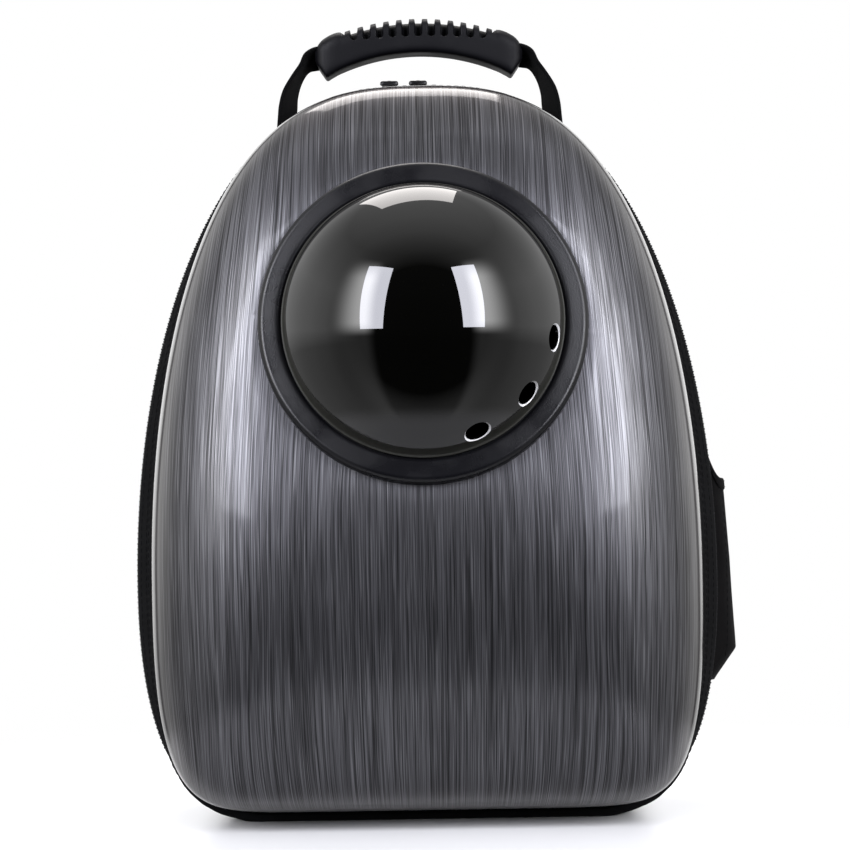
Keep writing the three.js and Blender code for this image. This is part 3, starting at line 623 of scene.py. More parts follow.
class CarrierSoftLook(bpy.types.PropertyGroup):
    """Finish of the cloth, webbing and zip."""
    cloth: colour_property("Cloth", "Colour of the binding and the zip's tape", (0.0014, 0.0014, 0.0016))
    # The rear cloth is the same black cloth as the binding, made paler as painted light because the lamps light the
    # rear body and straps less.
    rear_cloth: colour_property(
        "Rear cloth", "Colour of the rear body and the shoulder straps", (0.0068, 0.0068, 0.0074))
    pocket: colour_property("Pocket", "Colour of the side pocket", (0.003, 0.0028, 0.0028))
    webbing: colour_property("Webbing", "Colour of the webbing", (0.001, 0.001, 0.0011))
    thread: colour_property("Thread", "Colour of the stitches", (0.0022, 0.0022, 0.0024))
    zip: colour_property("Zip", "Colour of the teeth and the sliders", (0.003, 0.003, 0.0033))
    weave_pitch: pitch_property("Weave pitch", "Distance between the cloth's threads", 0.0009, 0.0002)
    tooth_pitch: pitch_property("Tooth pitch", "Distance between the zip's teeth", 0.003, 0.001)


class CarrierStageLook(bpy.types.PropertyGroup):
    """The camera and the studio lights."""
    camera_distance: bpy.props.FloatProperty(
        name="Camera distance", description="From the plane of the zip", default=1.8, min=0.5, unit="LENGTH")
    camera_height: bpy.props.FloatProperty(
        name="Camera height", description="Above the floor", default=0.221, min=0, unit="LENGTH")
    camera_roll: bpy.props.FloatProperty(
        name="Camera roll", description="How far the camera leans", default=math.radians(-0.95), unit="ROTATION")
    lens: bpy.props.FloatProperty(
        name="Lens", description="Focal length on a 36 mm sensor", default=134.3, min=10, unit="CAMERA")
    softbox_left: power_property("Left softbox", "Power of the front softbox on the left", 46.0)
    softbox_right: power_property("Right softbox", "Power of the front softbox on the right", 48.0)
    overhead: power_property("Overhead", "Power of the overhead softbox", 15.0)


# Stage

FLOOR_RADIUS, FLOOR_SIDES, FLOOR_DROP = 2200.0, 64, 0.4
CAMERA_X = 0.1
LIT_POINT = Vector((0, -0.1, 0.26))  # what the softboxes face, in metres
COOL, WARM = (0.93, 0.94, 1.04), (1.0, 0.96, 0.94)
# Tint, distance in metres, azimuth from the front to the right and elevation in degrees, and size in metres.
SOFTBOXES = {
    "softbox_left": (COOL, 2.0, -35.8, 22.5, (0.62, 1.5)),
    "softbox_right": (COOL, 2.0, 35.2, 22.5, (0.58, 1.5)),
    "overhead": (WARM, 1.8, 187, 60.5, (0.98, 0.8)),
}
# Brightness of the surroundings from the front, 0, to the back, 1, and from below, 0, to above, 1.
DEPTH_LEVELS = (
    (0, 0.015), (0.15, 0.03), (0.23, 0.6), (0.37, 1.25), (0.5, 1.45), (0.7, 1.4), (0.885, 1.1), (0.905, 0.12),
    (0.925, 0.12), (0.945, 1.3), (1, 1.3),
)
HEIGHT_LEVELS = ((0, 0.4), (0.44, 0.5), (0.52, 1.0), (0.72, 1.0), (0.9, 0.5), (1, 0.7))
# Light that spills past the softboxes: where it starts, peaks and ends, from the front to either side.
SPILL_START, SPILL_PEAK, SPILL_END = (math.radians(angle) for angle in (33, 43, 75))
SPILL_LEVEL, SPILL_FALL = 9.0, 1.6


class CARRIER_OT_stage(bpy.types.Operator):
    """Builds the floor, the studio lights and the camera"""
    bl_idname = "carrier.stage"
    bl_label = "Stage"

    def execute(self, context):
        look = context.scene.carrier_stage
        rim = lathe([(FLOOR_RADIUS, 0)], FLOOR_SIDES)[0]
        mesh = bpy.data.meshes.new("studio_floor")
        mesh.from_pydata((rim * MM).tolist(), [], [tuple(range(FLOOR_SIDES))])
        mesh.materials.append(floor_material())
        floor = bpy.data.objects.new("studio_floor", mesh)
        floor.location.z = -FLOOR_DROP * MM
        context.scene.collection.objects.link(floor)
        for name, placing in SOFTBOXES.items():
            self.light(context, name, getattr(look, name), *placing)
        self.surroundings(context)
        self.camera(context, look)
        context.scene.view_settings.view_transform = "Standard"
        return {"FINISHED"}

    def light(self, context, name, power, tint, distance, azimuth, elevation, size):
        """A softbox that faces the carrier from a direction: azimuth from the front to the right, and elevation."""
        lamp = bpy.data.lights.new(name, "AREA")
        lamp.shape, lamp.energy, lamp.color = "RECTANGLE", power, tint
        lamp.size, lamp.size_y = size
        a, e = math.radians(azimuth), math.radians(elevation)
        away = Vector((math.sin(a) * math.cos(e), -math.cos(a) * math.cos(e), math.sin(e)))
        softbox = bpy.data.objects.new(name, lamp)
        softbox.location = LIT_POINT + away * distance
        softbox.rotation_euler = away.to_track_quat("Z", "Y").to_euler()
        softbox.visible_camera = False
        context.scene.collection.objects.link(softbox)

    def surroundings(self, context):
        """A white studio that is dark around the camera. Straight views of it are plain white."""
        world = bpy.data.worlds.new("studio")
        context.scene.world = world
        world.use_nodes = True
        tree = world.node_tree
        direction = node(tree, "ShaderNodeTexCoord").outputs["Generated"]
        axes = node(tree, "ShaderNodeSeparateXYZ", {0: direction}).outputs
        around = self.levels(tree, axes["Y"], DEPTH_LEVELS)
        height = self.levels(tree, axes["Z"], HEIGHT_LEVELS)
        forwards = maths(tree, "MULTIPLY", axes["Y"], -1.0)
        turned = maths(tree, "ARCTAN2", maths(tree, "ABSOLUTE", axes["X"]), forwards)
        spill = maths(tree, "POWER", spread(tree, turned, SPILL_PEAK, SPILL_END, 1.0, 0.0), SPILL_FALL)
        for share in (
            spread(tree, turned, SPILL_START, SPILL_PEAK, 0.0, SPILL_LEVEL),
            spread(tree, axes["Z"], -0.06, 0.12, 0.04, 1.0),
            spread(tree, axes["Z"], 0.55, 0.75, 1.0, 0.0),
        ):
            spill = maths(tree, "MULTIPLY", spill, share)
        plain = stretch(tree, around, height)
        lit = node(tree, "ShaderNodeVectorMath", {0: plain, 1: spill}, operation="ADD").outputs[0]
        seen = node(tree, "ShaderNodeLightPath").outputs["Is Camera Ray"]
        colour = blend(tree, seen, lit, (1, 1, 1, 1))
        tree.links.new(colour, tree.nodes["Background"].inputs["Color"])

    def levels(self, tree, share, stops):
        """Brightness over one axis of the direction, with stops from its far negative, 0, to its positive, 1."""
        ramp = node(tree, "ShaderNodeValToRGB", {"Fac": spread(tree, share, -1.0, 1.0, kind="LINEAR")})
        while len(ramp.color_ramp.elements) < len(stops):
            ramp.color_ramp.elements.new(0.5)
        for element, (position, value) in zip(ramp.color_ramp.elements, stops):
            element.position, element.color = position, (value, value, value, 1)
        return ramp.outputs["Color"]

    def camera(self, context, look):
        """A camera straight before the carrier, leaning a little."""
        lens = bpy.data.cameras.new("photo_camera")
        lens.lens, lens.sensor_width = look.lens, 36
        camera = bpy.data.objects.new("photo_camera", lens)
        stand = Matrix.Translation((CAMERA_X * MM, ZIP_Y * MM - look.camera_distance, look.camera_height))
        lean = Matrix.Rotation(look.camera_roll, 4, "Z")
        camera.matrix_world = stand @ Matrix.Rotation(math.pi / 2, 4, "X") @ lean
        context.scene.collection.objects.link(camera)
        context.scene.camera = camera


# Shell and window


def edge_radius(edges):
    """How far points of the shell's edge lie from the window's middle, in the plane of its seat."""
    return np.hypot(edges[:, 0], (edges[:, 1] - SEAT_Z) / math.cos(SEAT_TILT))


def seat_depth(z):
    """Depth of the seat's plane at a height."""
    return SEAT_DEPTH - math.tan(SEAT_TILT) * (z - SEAT_Z)


def domed(edges, reach):
    """Height and depth of the shell without its seat, at a reach of 0 to 1 from the window's middle to the edge."""
    z = SEAT_Z + (edges[:, 1] - SEAT_Z) * reach
    face = SHELL_FRONT - LEAN_RATE * np.maximum(z - LEAN_START, 0) ** 2
    rise = np.maximum(1 - reach**SHELL_ROUNDNESS, 0) ** (1 / SHELL_ROUNDNESS)
    return z, SHELL_RIM + (face - SHELL_RIM) * rise


def shell_points(edges, angle):
    """Points (x, depth, z) of the shell along lines from the window to points of its edge.

    The seat is a flat cut with a rounded rim across the dome, which swells a little to meet that rim.
    """
    reach = np.cos(angle) ** (2 / SHELL_ROUNDNESS)
    radius = edge_radius(edges)
    rim_z, rim_depth = domed(edges, SEAT_RIM / radius)
    z, raised = domed(edges, reach)
    swell = 1 - smooth(reach, SEAT_RIM / radius, np.minimum(SWELL_END / radius, 1))
    raised += (seat_depth(rim_z) - rim_depth) * swell
    over = raised - seat_depth(z)
    share = np.clip(0.5 + 0.5 * over / SEAT_ROUND, 0, 1)
    return edges[:, 0] * reach, raised - over * share - SEAT_ROUND * share * (1 - share), z


class CARRIER_OT_front_shell(bpy.types.Operator):
    """Builds the thermoformed shell with its rolled edge, the window's seat and the notched hole"""
    bl_idname = "carrier.front_shell"
    bl_label = "Front shell"

    def execute(self, context):
        edges = shell_outline
        toward = np.degrees(np.arctan2((edges[:, 1] - SEAT_Z) / math.cos(SEAT_TILT), edges[:, 0]))
        hole = np.full(len(edges), HOLE_RADIUS)
        for lug in LUG_ANGLES:
            off = np.abs((toward - lug - LUG_TURN + 180) % 360 - 180)
            hole = np.where(off < LUG_SPAN / 2 + NOTCH_SIDE, LUG_RADIUS + NOTCH_ROOM, hole)
        last = np.arccos((hole / edge_radius(edges)) ** (SHELL_ROUNDNESS / 2))
        rises = np.array([0, 0.003, 0.006, 0.01, 0.014, 0.02, 0.032, 0.05, 0.08, 0.12, 0.18, 0.25])
        first = np.arcsin(rises ** (SHELL_ROUNDNESS / 2))
        angles = [np.full(len(edges), a) for a in first]
        angles += [first[-1] + (last - first[-1]) * (1 - left**1.6) for left in np.linspace(1, 0, 79)[1:]]
        out = outwards(edges)
        rows, film = [], []
        for angle in angles:
            x, depth, z = shell_points(edges, angle)
            bare = 1 - np.clip((depth - SHELL_RIM) / SHELL_ROLL, 0, 1)
            roll = SHELL_ROLL * (1 - np.sqrt(1 - bare**2))
            rows.append(place(x - out[:, 0] * roll, depth, z - out[:, 1] * roll))
            fallen = np.maximum(SHELL_FRONT - depth, 0)
            across = x / (1 - FILM_DRAW * fallen) + FILM_WRAP * np.sign(x) * fallen * out[:, 0] ** 2
            film.append(np.stack([across, z], axis=1) * MM)
        rows = np.array(rows)
        within = place(0, 30, SEAT_Z - 60)
        inside = (rows - outside_of(rows, within) * SHELL_WALL)[ROLL_ROWS:]
        film = np.array(film)
        film = np.concatenate([film, film[:, :1]], axis=1)
        film = np.concatenate([film, film[ROLL_ROWS:][::-1], film[:1]])
        form = Form()
        form.grid(np.concatenate([rows, inside[::-1]]), ring=True, uv=film)
        brushed = film_material(context.scene.carrier_shell)
        form.piece("brushed_shell", [brushed], slot="shell", replaces=["front_shell"], sharp=50)
        return {"FINISHED"}


class CARRIER_OT_window_ring(bpy.types.Operator):
    """Builds the moulded ring that holds the bubble, with the lugs that lock it behind the shell"""
    bl_idname = "carrier.window_ring"
    bl_label = "Window ring"

    def execute(self, context):
        back = LUG_TOP - LUG_THICKNESS
        neck = HOLE_RADIUS - 0.5
        root = neck - 2
        skirt = [(neck, CLEARANCE), (RING_OUTER - 0.6, CLEARANCE), (RING_OUTER - 0.1, 0.7)]
        turn = np.linspace(0, math.pi / 2, 12)
        crest = np.stack([RING_OUTER - 3.4 + 3.4 * np.cos(turn), 5.6 + 3.6 * np.sin(turn)], axis=1)
        face = [(84.0, 9.33), (82.5, 9.52), (81.0, 9.7), (79.5, 9.86), (78.4, 9.96)]
        lip = [(77.8, 9.94), (77.2, 9.75), (76.7, 9.4), (76.3, 9.05), (RING_BORE, 8.75)]
        well = [(RING_BORE, RING_LEDGE_HEIGHT), (RING_LEDGE, RING_LEDGE_HEIGHT), (RING_LEDGE, back), (neck, back)]
        form = Form()
        form.grid(seat_frame(lathe([*skirt, *crest, *face, *lip, *well], RING_SIDES)), ring=True)
        section = rounded([(root, back), (LUG_RADIUS, back), (LUG_RADIUS, LUG_TOP), (root, LUG_TOP)], 0.6, 3)
        for lug in LUG_ANGLES:
            turn = np.radians(np.linspace(lug - LUG_SPAN / 2, lug + LUG_SPAN / 2, 9))
            rows = [np.stack([section[:, 0] * math.cos(t), section[:, 0] * math.sin(t), section[:, 1]], axis=1)
                    for t in turn]
            form.grid(seat_frame(rows), caps=True)
        look = context.scene.carrier_shell
        moulding = moulding_material("ring_moulding", look.moulding[:], 0.3, 0.0007, 0.26)
        form.piece("grained_ring", [moulding], "window", "moulding", ["window_ring"], sharp=35)
        return {"FINISHED"}


class CARRIER_OT_bubble_dome(bpy.types.Operator):
    """Builds the smoked bubble and drills its three vents with chamfered edges"""
    bl_idname = "carrier.bubble_dome"
    bl_label = "Bubble dome"

    def execute(self, context):
        middle = DOME_RIM_HEIGHT - math.sqrt(DOME_RADIUS**2 - DOME_RIM_RADIUS**2)
        inner = DOME_RADIUS - DOME_WALL
        end = math.asin(DOME_END / DOME_RADIUS)
        inner_end = math.acos((DOME_RIM_HEIGHT - middle) / inner)
        polar = np.linspace(0.004, 1, 56)
        outside = [(DOME_RADIUS * math.sin(end * p), middle + DOME_RADIUS * math.cos(end * p)) for p in polar]
        inside = [(inner * math.sin(inner_end * p), middle + inner * math.cos(inner_end * p)) for p in polar]
        foot = RING_LEDGE_HEIGHT + CLEARANCE
        t = np.linspace(0, 1, 16)[1:, None]
        start, bend, tip = np.array([outside[-1], (74.3, 11.2), (75.5, 10.9)])
        hollow = (1 - t) ** 2 * start + 2 * t * (1 - t) * bend + t**2 * tip
        flange = [*hollow, (75.7, 10.7), (75.7, foot), (72.4, foot)]
        form = Form()
        form.grid(seat_frame(lathe([*outside, *flange, *inside[::-1]], DOME_SIDES)), caps=True)
        first = sum(radius < SATIN_RIM for radius, _ in outside) * DOME_SIDES
        last = (len(outside) + len(hollow)) * DOME_SIDES
        form.finishes[first:last] = [SATIN] * (last - first)
        look = context.scene.carrier_shell
        finishes = [smoke_material(look), vent_edge_painted_glint_material(), satin_rim_material(look)]
        dome = form.piece("smoked_bubble", finishes, "window", "bubble", ["bubble_dome"])
        for angle in VENT_ANGLES:
            self.drill(dome, angle, middle)
        self.polish(dome, middle)
        return {"FINISHED"}

    def drill(self, dome, angle, middle):
        """Cuts one vent: a straight bore that opens out in a chamfer at the bubble's outside."""
        low, high = DOME_RADIUS - 12, DOME_RADIUS + 8
        bevel = DOME_RADIUS - 0.25 - VENT_CHAMFER
        flare = VENT_RADIUS + (high - bevel)
        bore = lathe([(VENT_RADIUS, low), (VENT_RADIUS, bevel), (flare, high)], VENT_SIDES)
        form = Form()
        tilt = Matrix.Rotation(math.radians(angle), 3, "Z") @ Matrix.Rotation(math.radians(VENT_POLAR), 3, "Y")
        form.grid(seat_frame(bore @ np.array(tilt).T + (0, 0, middle)), caps=True)
        drill = form.piece("vent_drill", dome.data.materials[:])
        # The chamfer's faces take the vents' edge finish with its painted glint.
        finishes = [SMOKE] * VENT_SIDES + [PAINTED_GLINT] * VENT_SIDES + [SMOKE, SMOKE]
        drill.data.polygons.foreach_set("material_index", finishes)
        cut = dome.modifiers.new("vent", "BOOLEAN")
        cut.operation, cut.solver, cut.object = "DIFFERENCE", "EXACT", drill
        cut_dome = dome.evaluated_get(bpy.context.evaluated_depsgraph_get())
        drilled = bpy.data.meshes.new_from_object(cut_dome)
        dome.modifiers.remove(cut)
        dome.data = drilled
        bpy.data.objects.remove(drill)

    def polish(self, dome, middle):
        """Gives the domed faces their own normals, a little flatter than a ball's, that run true past the vents."""
        mesh = dome.data
        centre, deeper = (Vector(seat_frame((0, 0, height)) * MM) for height in (middle, middle - DOME_FLATTER))
        mesh.shade_smooth()
        mesh.set_sharp_from_angle(angle=math.radians(25))
        normals = [Vector(n.vector) for n in mesh.corner_normals]
        for face in mesh.polygons:
            spokes = [mesh.vertices[i].co - centre for i in face.vertices]
            for radius, sign in ((DOME_RADIUS, 1), (DOME_RADIUS - DOME_WALL, -1)):
                if face.material_index == SMOKE and all(abs(s.length - radius * MM) < 2e-5 for s in spokes):
                    for corner, spoke in zip(face.loop_indices, spokes):
                        normals[corner] = (spoke + centre - deeper).normalized() * sign
        mesh.normals_split_custom_set(normals)


# Seam between the shell and the rear body

LIFT = np.stack([zip_out[:, 0], np.zeros(OUTLINE_COUNT), zip_out[:, 1]], axis=1)  # out of the zip's outline
AROUND = np.linspace(0, 1, OUTLINE_COUNT, endpoint=False)  # share of the way round it
ZIP_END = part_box("zip_chain")[0].z / MM  # the height at which the zip ends on both sides


def above(height, *lines):
    """The stretch of lines round the outline that lies above a height at the zip."""
    kept = np.flatnonzero(zip_outline[:, 1] > height)
    return [line[kept] for line in lines]


def strip(line, out, section):
    """Rows of a section, as (depth, height) points over a line of the outline, carried along that line."""
    rows = []
    for p, o in zip(line, out):
        at = p + np.outer(section[:, 1], o)
        rows.append(place(at[:, 0], section[:, 0], np.maximum(at[:, 1], FLOOR_GAP)))
    return rows


class CARRIER_OT_seam(bpy.types.Operator):
    """Builds the cloth binding round the shell, the zip's tape and the hinge strip under the carrier"""
    bl_idname = "carrier.seam"
    bl_label = "Binding, tape and hinge"

    def execute(self, context):
        look = context.scene.carrier_soft
        cloth = cloth_material("binding_cloth", look.cloth[:], look.weave_pitch, SEAM_SHEEN)
        thread = thread_material(look.thread[:])
        self.binding(cloth, thread)
        self.tape(cloth, thread)
        self.hinge(cloth)
        return {"FINISHED"}

    def binding(self, cloth, thread):
        """A puckered bead of cloth over the shell's edge, with one row of stitches."""
        front, back, wall = SHELL_RIM - CLEARANCE, 14.0, 4.0
        pucker = ripple(AROUND, (0.09, 61, 0.1), (0.07, 97, 0.4), (0.05, 149, 0.7))[:, None]

        def bead(t):
            bulge = math.sin(math.pi * t)
            return seam_loop(0.45 * t, -0.8 + 1.6 * bulge**0.6 + pucker * bulge, front + (back - front) * t)

        rows = [bead(t) for t in np.linspace(0, 1, 13)]
        form = Form()
        form.grid([*rows, seam_loop(0.45, -wall, back), seam_loop(0, -wall, front)], ring=True)
        form.stitches(*above(SEAM_SEWN, bead(0.7), LIFT))
        form.piece("cloth_binding", [cloth, thread], slot="fabric", replaces=["rim_binding"])

    def tape(self, cloth, thread):
        """The slightly slack tape between the binding and the teeth, with two rows of stitches."""
        front, back, wall = 13.7, 3.3, 1.6
        slack = ripple(AROUND, (0.1, 43, 0.2), (0.08, 71, 0.9))[:, None]

        def flat(t):
            return seam_loop(0.4 + 0.6 * t, (0.35 + slack) * math.sin(math.pi * t), front + (back - front) * t)

        rows = [flat(t) for t in np.linspace(0, 1, 9)]
        form = Form()
        form.grid([*rows, seam_loop(1, -wall, back), seam_loop(0.4, -wall, front)], ring=True)
        for share in (0.16, 0.62):
            form.stitches(*above(SEAM_SEWN, flat(share), LIFT))
        form.piece("zip_tape_cloth", [cloth, thread], slot="fabric", replaces=["zip_tape"])

    def hinge(self, cloth):
        """The strip under the carrier that closes the seam between the zip's ends."""
        low = np.roll(np.arange(OUTLINE_COUNT), OUTLINE_COUNT // 2)
        low = low[zip_outline[low, 1] < ZIP_END - 0.4]
        section = rounded([(3, 0), (-3, 0), (-3, -2.2), (3, -2.2)], 0.8, 4)
        form = Form()
        form.grid(strip(zip_outline[low], zip_out[low], section), caps=True)
        form.piece("hinge_strip_cloth", [cloth], slot="fabric", replaces=["hinge_strip"])


ZIP_TAPE = 1  # finish of the zip's tape, whose teeth are finish 0
# Depth, half width and top of a slider's body, from its front to its back.
SLIDER_PLAN = (
    (4.4, 3.9, 1.3), (4.0, 4.8, 2.0), (2.4, 5.4, 2.5), (0.4, 5.4, 2.6), (-1.8, 4.9, 2.5), (-3.6, 4.4, 2.1),
    (-4.4, 3.4, 1.3),
)


class CARRIER_OT_zip(bpy.types.Operator):
    """Builds the zip's meshing teeth on their tape and the two sliders with their pulls"""
    bl_idname = "carrier.zip"
    bl_label = "Zip"

    def execute(self, context):
        look = context.scene.carrier_soft
        teeth = zip_material("zip_teeth", look.zip[:], 0.42)
        tape = cloth_material("zip_tape_weave", look.cloth[:], look.weave_pitch * 0.8, SEAM_SHEEN)
        line, = above(ZIP_END + 0.3, zip_outline)
        form = Form()
        self.tape(form, line)
        self.teeth(form, line, look.tooth_pitch / MM)
        form.piece("zip_teeth", [teeth, tape], slot="zip", replaces=["zip_chain"])
        slider = zip_material("zip_slider_lacquer", look.zip[:], 0.3)
        for side in ("left", "right"):
            self.slider(side, slider)
        return {"FINISHED"}

    def tape(self, form, line):
        """The woven strip that carries the teeth."""
        out = outwards(line)
        out[0], out[-1] = out[1], out[-2]
        section = rounded([(3, -0.3), (-3, -0.3), (-3, -2.2), (3, -2.2)], 0.5, 3)
        form.grid(strip(line, out, section), caps=True, finish=ZIP_TAPE)

    def teeth(self, form, line, pitch):
        """Two rows of teeth that mesh, each tooth a bar across the tape with a rounded top and ends."""
        length = np.linalg.norm(np.diff(line, axis=0), axis=1).sum()
        middles = even(line, int(2 * length / pitch))[1:-1]
        along = unit(np.gradient(middles, axis=0))
        out = np.stack([along[:, 1], -along[:, 0]], axis=1)
        profile = np.array([(-0.42, -0.6), (-0.42, 0.4), (-0.2, 0.75), (0.2, 0.75), (0.42, 0.4), (0.42, -0.6)])
        ends = ((2.75, 0.55), (2.5, 0.95), (0.6, 1.0), (-0.55, 0.9), (-0.8, 0.5))
        for i, (p, a, o) in enumerate(zip(middles, along, out)):
            side = 1 if i % 2 else -1
            rows = []
            for depth, size in ends:
                at = p + np.outer(profile[:, 0] * pitch * 0.5 * size, a) + np.outer(profile[:, 1] * size - 0.1, o)
                rows.append(place(at[:, 0], side * depth, at[:, 1]))
            form.grid(rows, caps=True)

    def slider(self, side, lacquer):
        """A slider body with a waisted plan, the bridge that holds the pull, and the pull lying back."""
        low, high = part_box(f"zip_slider_{side}")
        x, z = (low.x + high.x) / 2 / MM, low.z / MM
        form = Form()
        rows = []
        for depth, half, top in SLIDER_PLAN:
            section = rounded([(half, 0.1), (half - 0.5, top), (0.5 - half, top), (-half, 0.1)], 1.6, 6)
            rows.append(place(x + section[:, 0], depth, z + section[:, 1]))
        form.grid(rows, caps=True)
        turn = np.linspace(0, math.pi, 12)
        path = place(x, 1.6 - 2.8 * (1 - np.cos(turn)) / 2 * 1.6, z + 1.6 + 0.9 * np.sin(turn))
        section = rounded([(1.1, 0.45), (-1.1, 0.45), (-1.1, -0.45), (1.1, -0.45)], 0.3, 3)
        rows, _, _ = bands(path, np.array([1.0, 0, 0]), section)
        form.grid(rows, caps=True)
        tab = flowing([(-1.6, 2.1), (-6, 2.0), (-14, 1.9), (-25.6, 1.8)], 26)
        widths = np.interp(tab[:, 0], [-25.6, -25, -23.5, -8, -4, -1.6], [2.6, 3.6, 4.4, 4.0, 2.6, 1.8])
        rows = []
        for (depth, height), half in zip(tab, widths):
            section = rounded([(half, -0.55), (half, 0.55), (-half, 0.55), (-half, -0.55)], 0.45, 4)
            rows.append(place(x + section[:, 0], depth, z + height + section[:, 1]))
        form.grid(rows, caps=True)
        form.piece(f"zip_pull_{side}", [lacquer], slot="zip", replaces=[f"zip_slider_{side}"])


# Rear body


def rear_reach(share):
    """How much of the zip's outline is left at a share of the way back."""
    turn = np.arcsin(np.clip(share, 0, 1) ** (REAR_BOXINESS / 2))
    return np.cos(turn) ** (2 / REAR_BOXINESS) * (1 - REAR_DRAFT * share)


def rear_loop(share, reach):
    """A loop of the rear body's outside."""
    x, z = zip_outline.T
    sunk = z - REAR_SINK * np.clip(1 - z / REAR_SINK_HEIGHT, 0, 1)
    height = np.maximum(REAR_CENTRE + (sunk - REAR_CENTRE) * reach, FLOOR_GAP)
    return place(x * reach, REAR_FRONT - REAR_DEPTH * share, height)


def rear_half_width(depth, z):
    """The rear body's half width at a depth and height."""
    reach = rear_reach(np.clip((REAR_FRONT - depth) / REAR_DEPTH, 0, 1))
    right = zip_outline[: OUTLINE_COUNT // 2 + 1]
    return reach * np.interp(REAR_CENTRE + (z - REAR_CENTRE) / reach, right[:, 1], right[:, 0])


PANEL_SHARE = math.sin(0.6) ** (2 / REAR_BOXINESS)  # where the back panel is sewn to the sides
REAR_MIDDLE = place(0, -40, REAR_CENTRE)


class CARRIER_OT_rear_body(bpy.types.Operator):
    """Builds the soft sides and the padded back panel with the piping between them"""
    bl_idname = "carrier.rear_body"
    bl_label = "Rear body"

    def execute(self, context):
        look = context.scene.carrier_soft
        # The rear cloth's paler colour is painted light.
        cloth = cloth_material("rear_cloth", look.rear_cloth[:], look.weave_pitch, REAR_SHEEN)
        thread = rear_thread_material(look)
        self.sides(cloth, thread)
        self.back(cloth, thread)
        self.piping(cloth)
        return {"FINISHED"}

    def sides(self, cloth, thread):
        """The soft sides and base, from the zip to the back panel's seam."""
        shares = np.concatenate([np.linspace(0, 0.1, 5), np.linspace(0.13, PANEL_SHARE, 26)])
        rows = np.array([rear_loop(share, rear_reach(share)) for share in shares])
        out = outside_of(rows, REAR_MIDDLE)
        sag = self.creases(shares)
        outer = self.on_floor(rows + out * sag[..., None])
        form = Form()
        form.grid(np.concatenate([outer, self.on_floor(rows - out * REAR_WALL)[::-1]]), ring=True)
        for share in (0.035, PANEL_SHARE - 0.03):
            at = np.abs(shares - share).argmin()
            form.stitches(*above(REAR_SEWN, outer[at] + out[at] * 0.05, out[at]))
        sides = form.piece("rear_sides", [cloth, thread], slot="fabric", replaces=["rear_body"])

    def back(self, cloth, thread):
        """The panel against the wearer's back, filled out inside its sewn edge."""
        reach = np.linspace(rear_reach(PANEL_SHARE), 0.03, 44)
        shares = np.array([self.share_at(r) for r in reach])
        rows = np.array([rear_loop(s, r) for s, r in zip(shares, reach)])
        rows[:, :, 1] += CLEARANCE
        out = outside_of(rows, REAR_MIDDLE)
        uneven = 0.5 * np.sin(rows[..., 0] / 23 + 0.8) * np.sin(rows[..., 2] / 31)
        crown = 1.6 * smooth(shares, PANEL_SHARE, 0.97)[:, None] + uneven * smooth(shares, 0.86, 0.99)[:, None]
        outer = self.on_floor(rows + out * crown[..., None])
        both = np.concatenate([self.on_floor(rows - out * REAR_WALL)[::-1], outer])
        flat = np.concatenate([both, both[:, :1]], axis=1)[..., [0, 2]] * MM
        form = Form()
        form.grid(both, caps=True, uv=flat)
        at = np.abs(reach - rear_reach(PANEL_SHARE) + 0.035).argmin()
        closed = np.vstack([outer[at], outer[at][:1]])
        form.stitches(closed, np.vstack([out[at], out[at][:1]]))
        back = form.piece("padded_back", [cloth, thread], slot="fabric", replaces=["back_panel"])

    def creases(self, shares):
        """Slack in the sides: shallow sags between the seams and short puckers along them."""
        free = np.sin(math.pi * np.clip(shares / PANEL_SHARE, 0, 1))[:, None]
        sway = ripple(AROUND, (0.5, 5, 0.1), (0.45, 9, 0.55), (0.3, 17, 0.3))
        drift = np.sin(shares * 9)[:, None]
        edge = np.exp(-shares / 0.08)[:, None] + np.exp((shares - PANEL_SHARE) / 0.06)[:, None]
        pucker = ripple(AROUND, (0.22, 83, 0.2), (0.16, 131, 0.6))
        return free * (0.6 + sway + 0.5 * drift * np.roll(sway, 40)) + edge * free**0.3 * pucker

    def share_at(self, reach):
        """The share of the way back at which this much of the outline is left."""
        shares = np.linspace(PANEL_SHARE, 1, 4000)
        return np.interp(-reach, -rear_reach(shares), shares)

    def on_floor(self, rows):
        """The same rows with no point lower than cloth may lie."""
        return np.concatenate([rows[..., :2], np.maximum(rows[..., 2:], FLOOR_GAP)], axis=-1)

    def piping(self, cloth):
        """A covered cord along the seam of the back panel."""
        line = rear_loop(PANEL_SHARE, rear_reach(PANEL_SHARE)) + (0, 0.1, 0)
        out = unit(LIFT + (0, 0.6, 0))
        along = unit(np.roll(line, -1, axis=0) - np.roll(line, 1, axis=0))
        turn = np.linspace(0, 2 * math.pi, 12, endpoint=False)
        side = np.cross(along, out)
        ring = out[:, None] * np.cos(turn)[:, None] + side[:, None] * np.sin(turn)[:, None]
        form = Form()
        form.grid(self.on_floor((line + out * 0.6)[:, None] + ring * 1.9), ring=True)
        form.piece("seam_piping", [cloth], slot="fabric")


# Grab handle

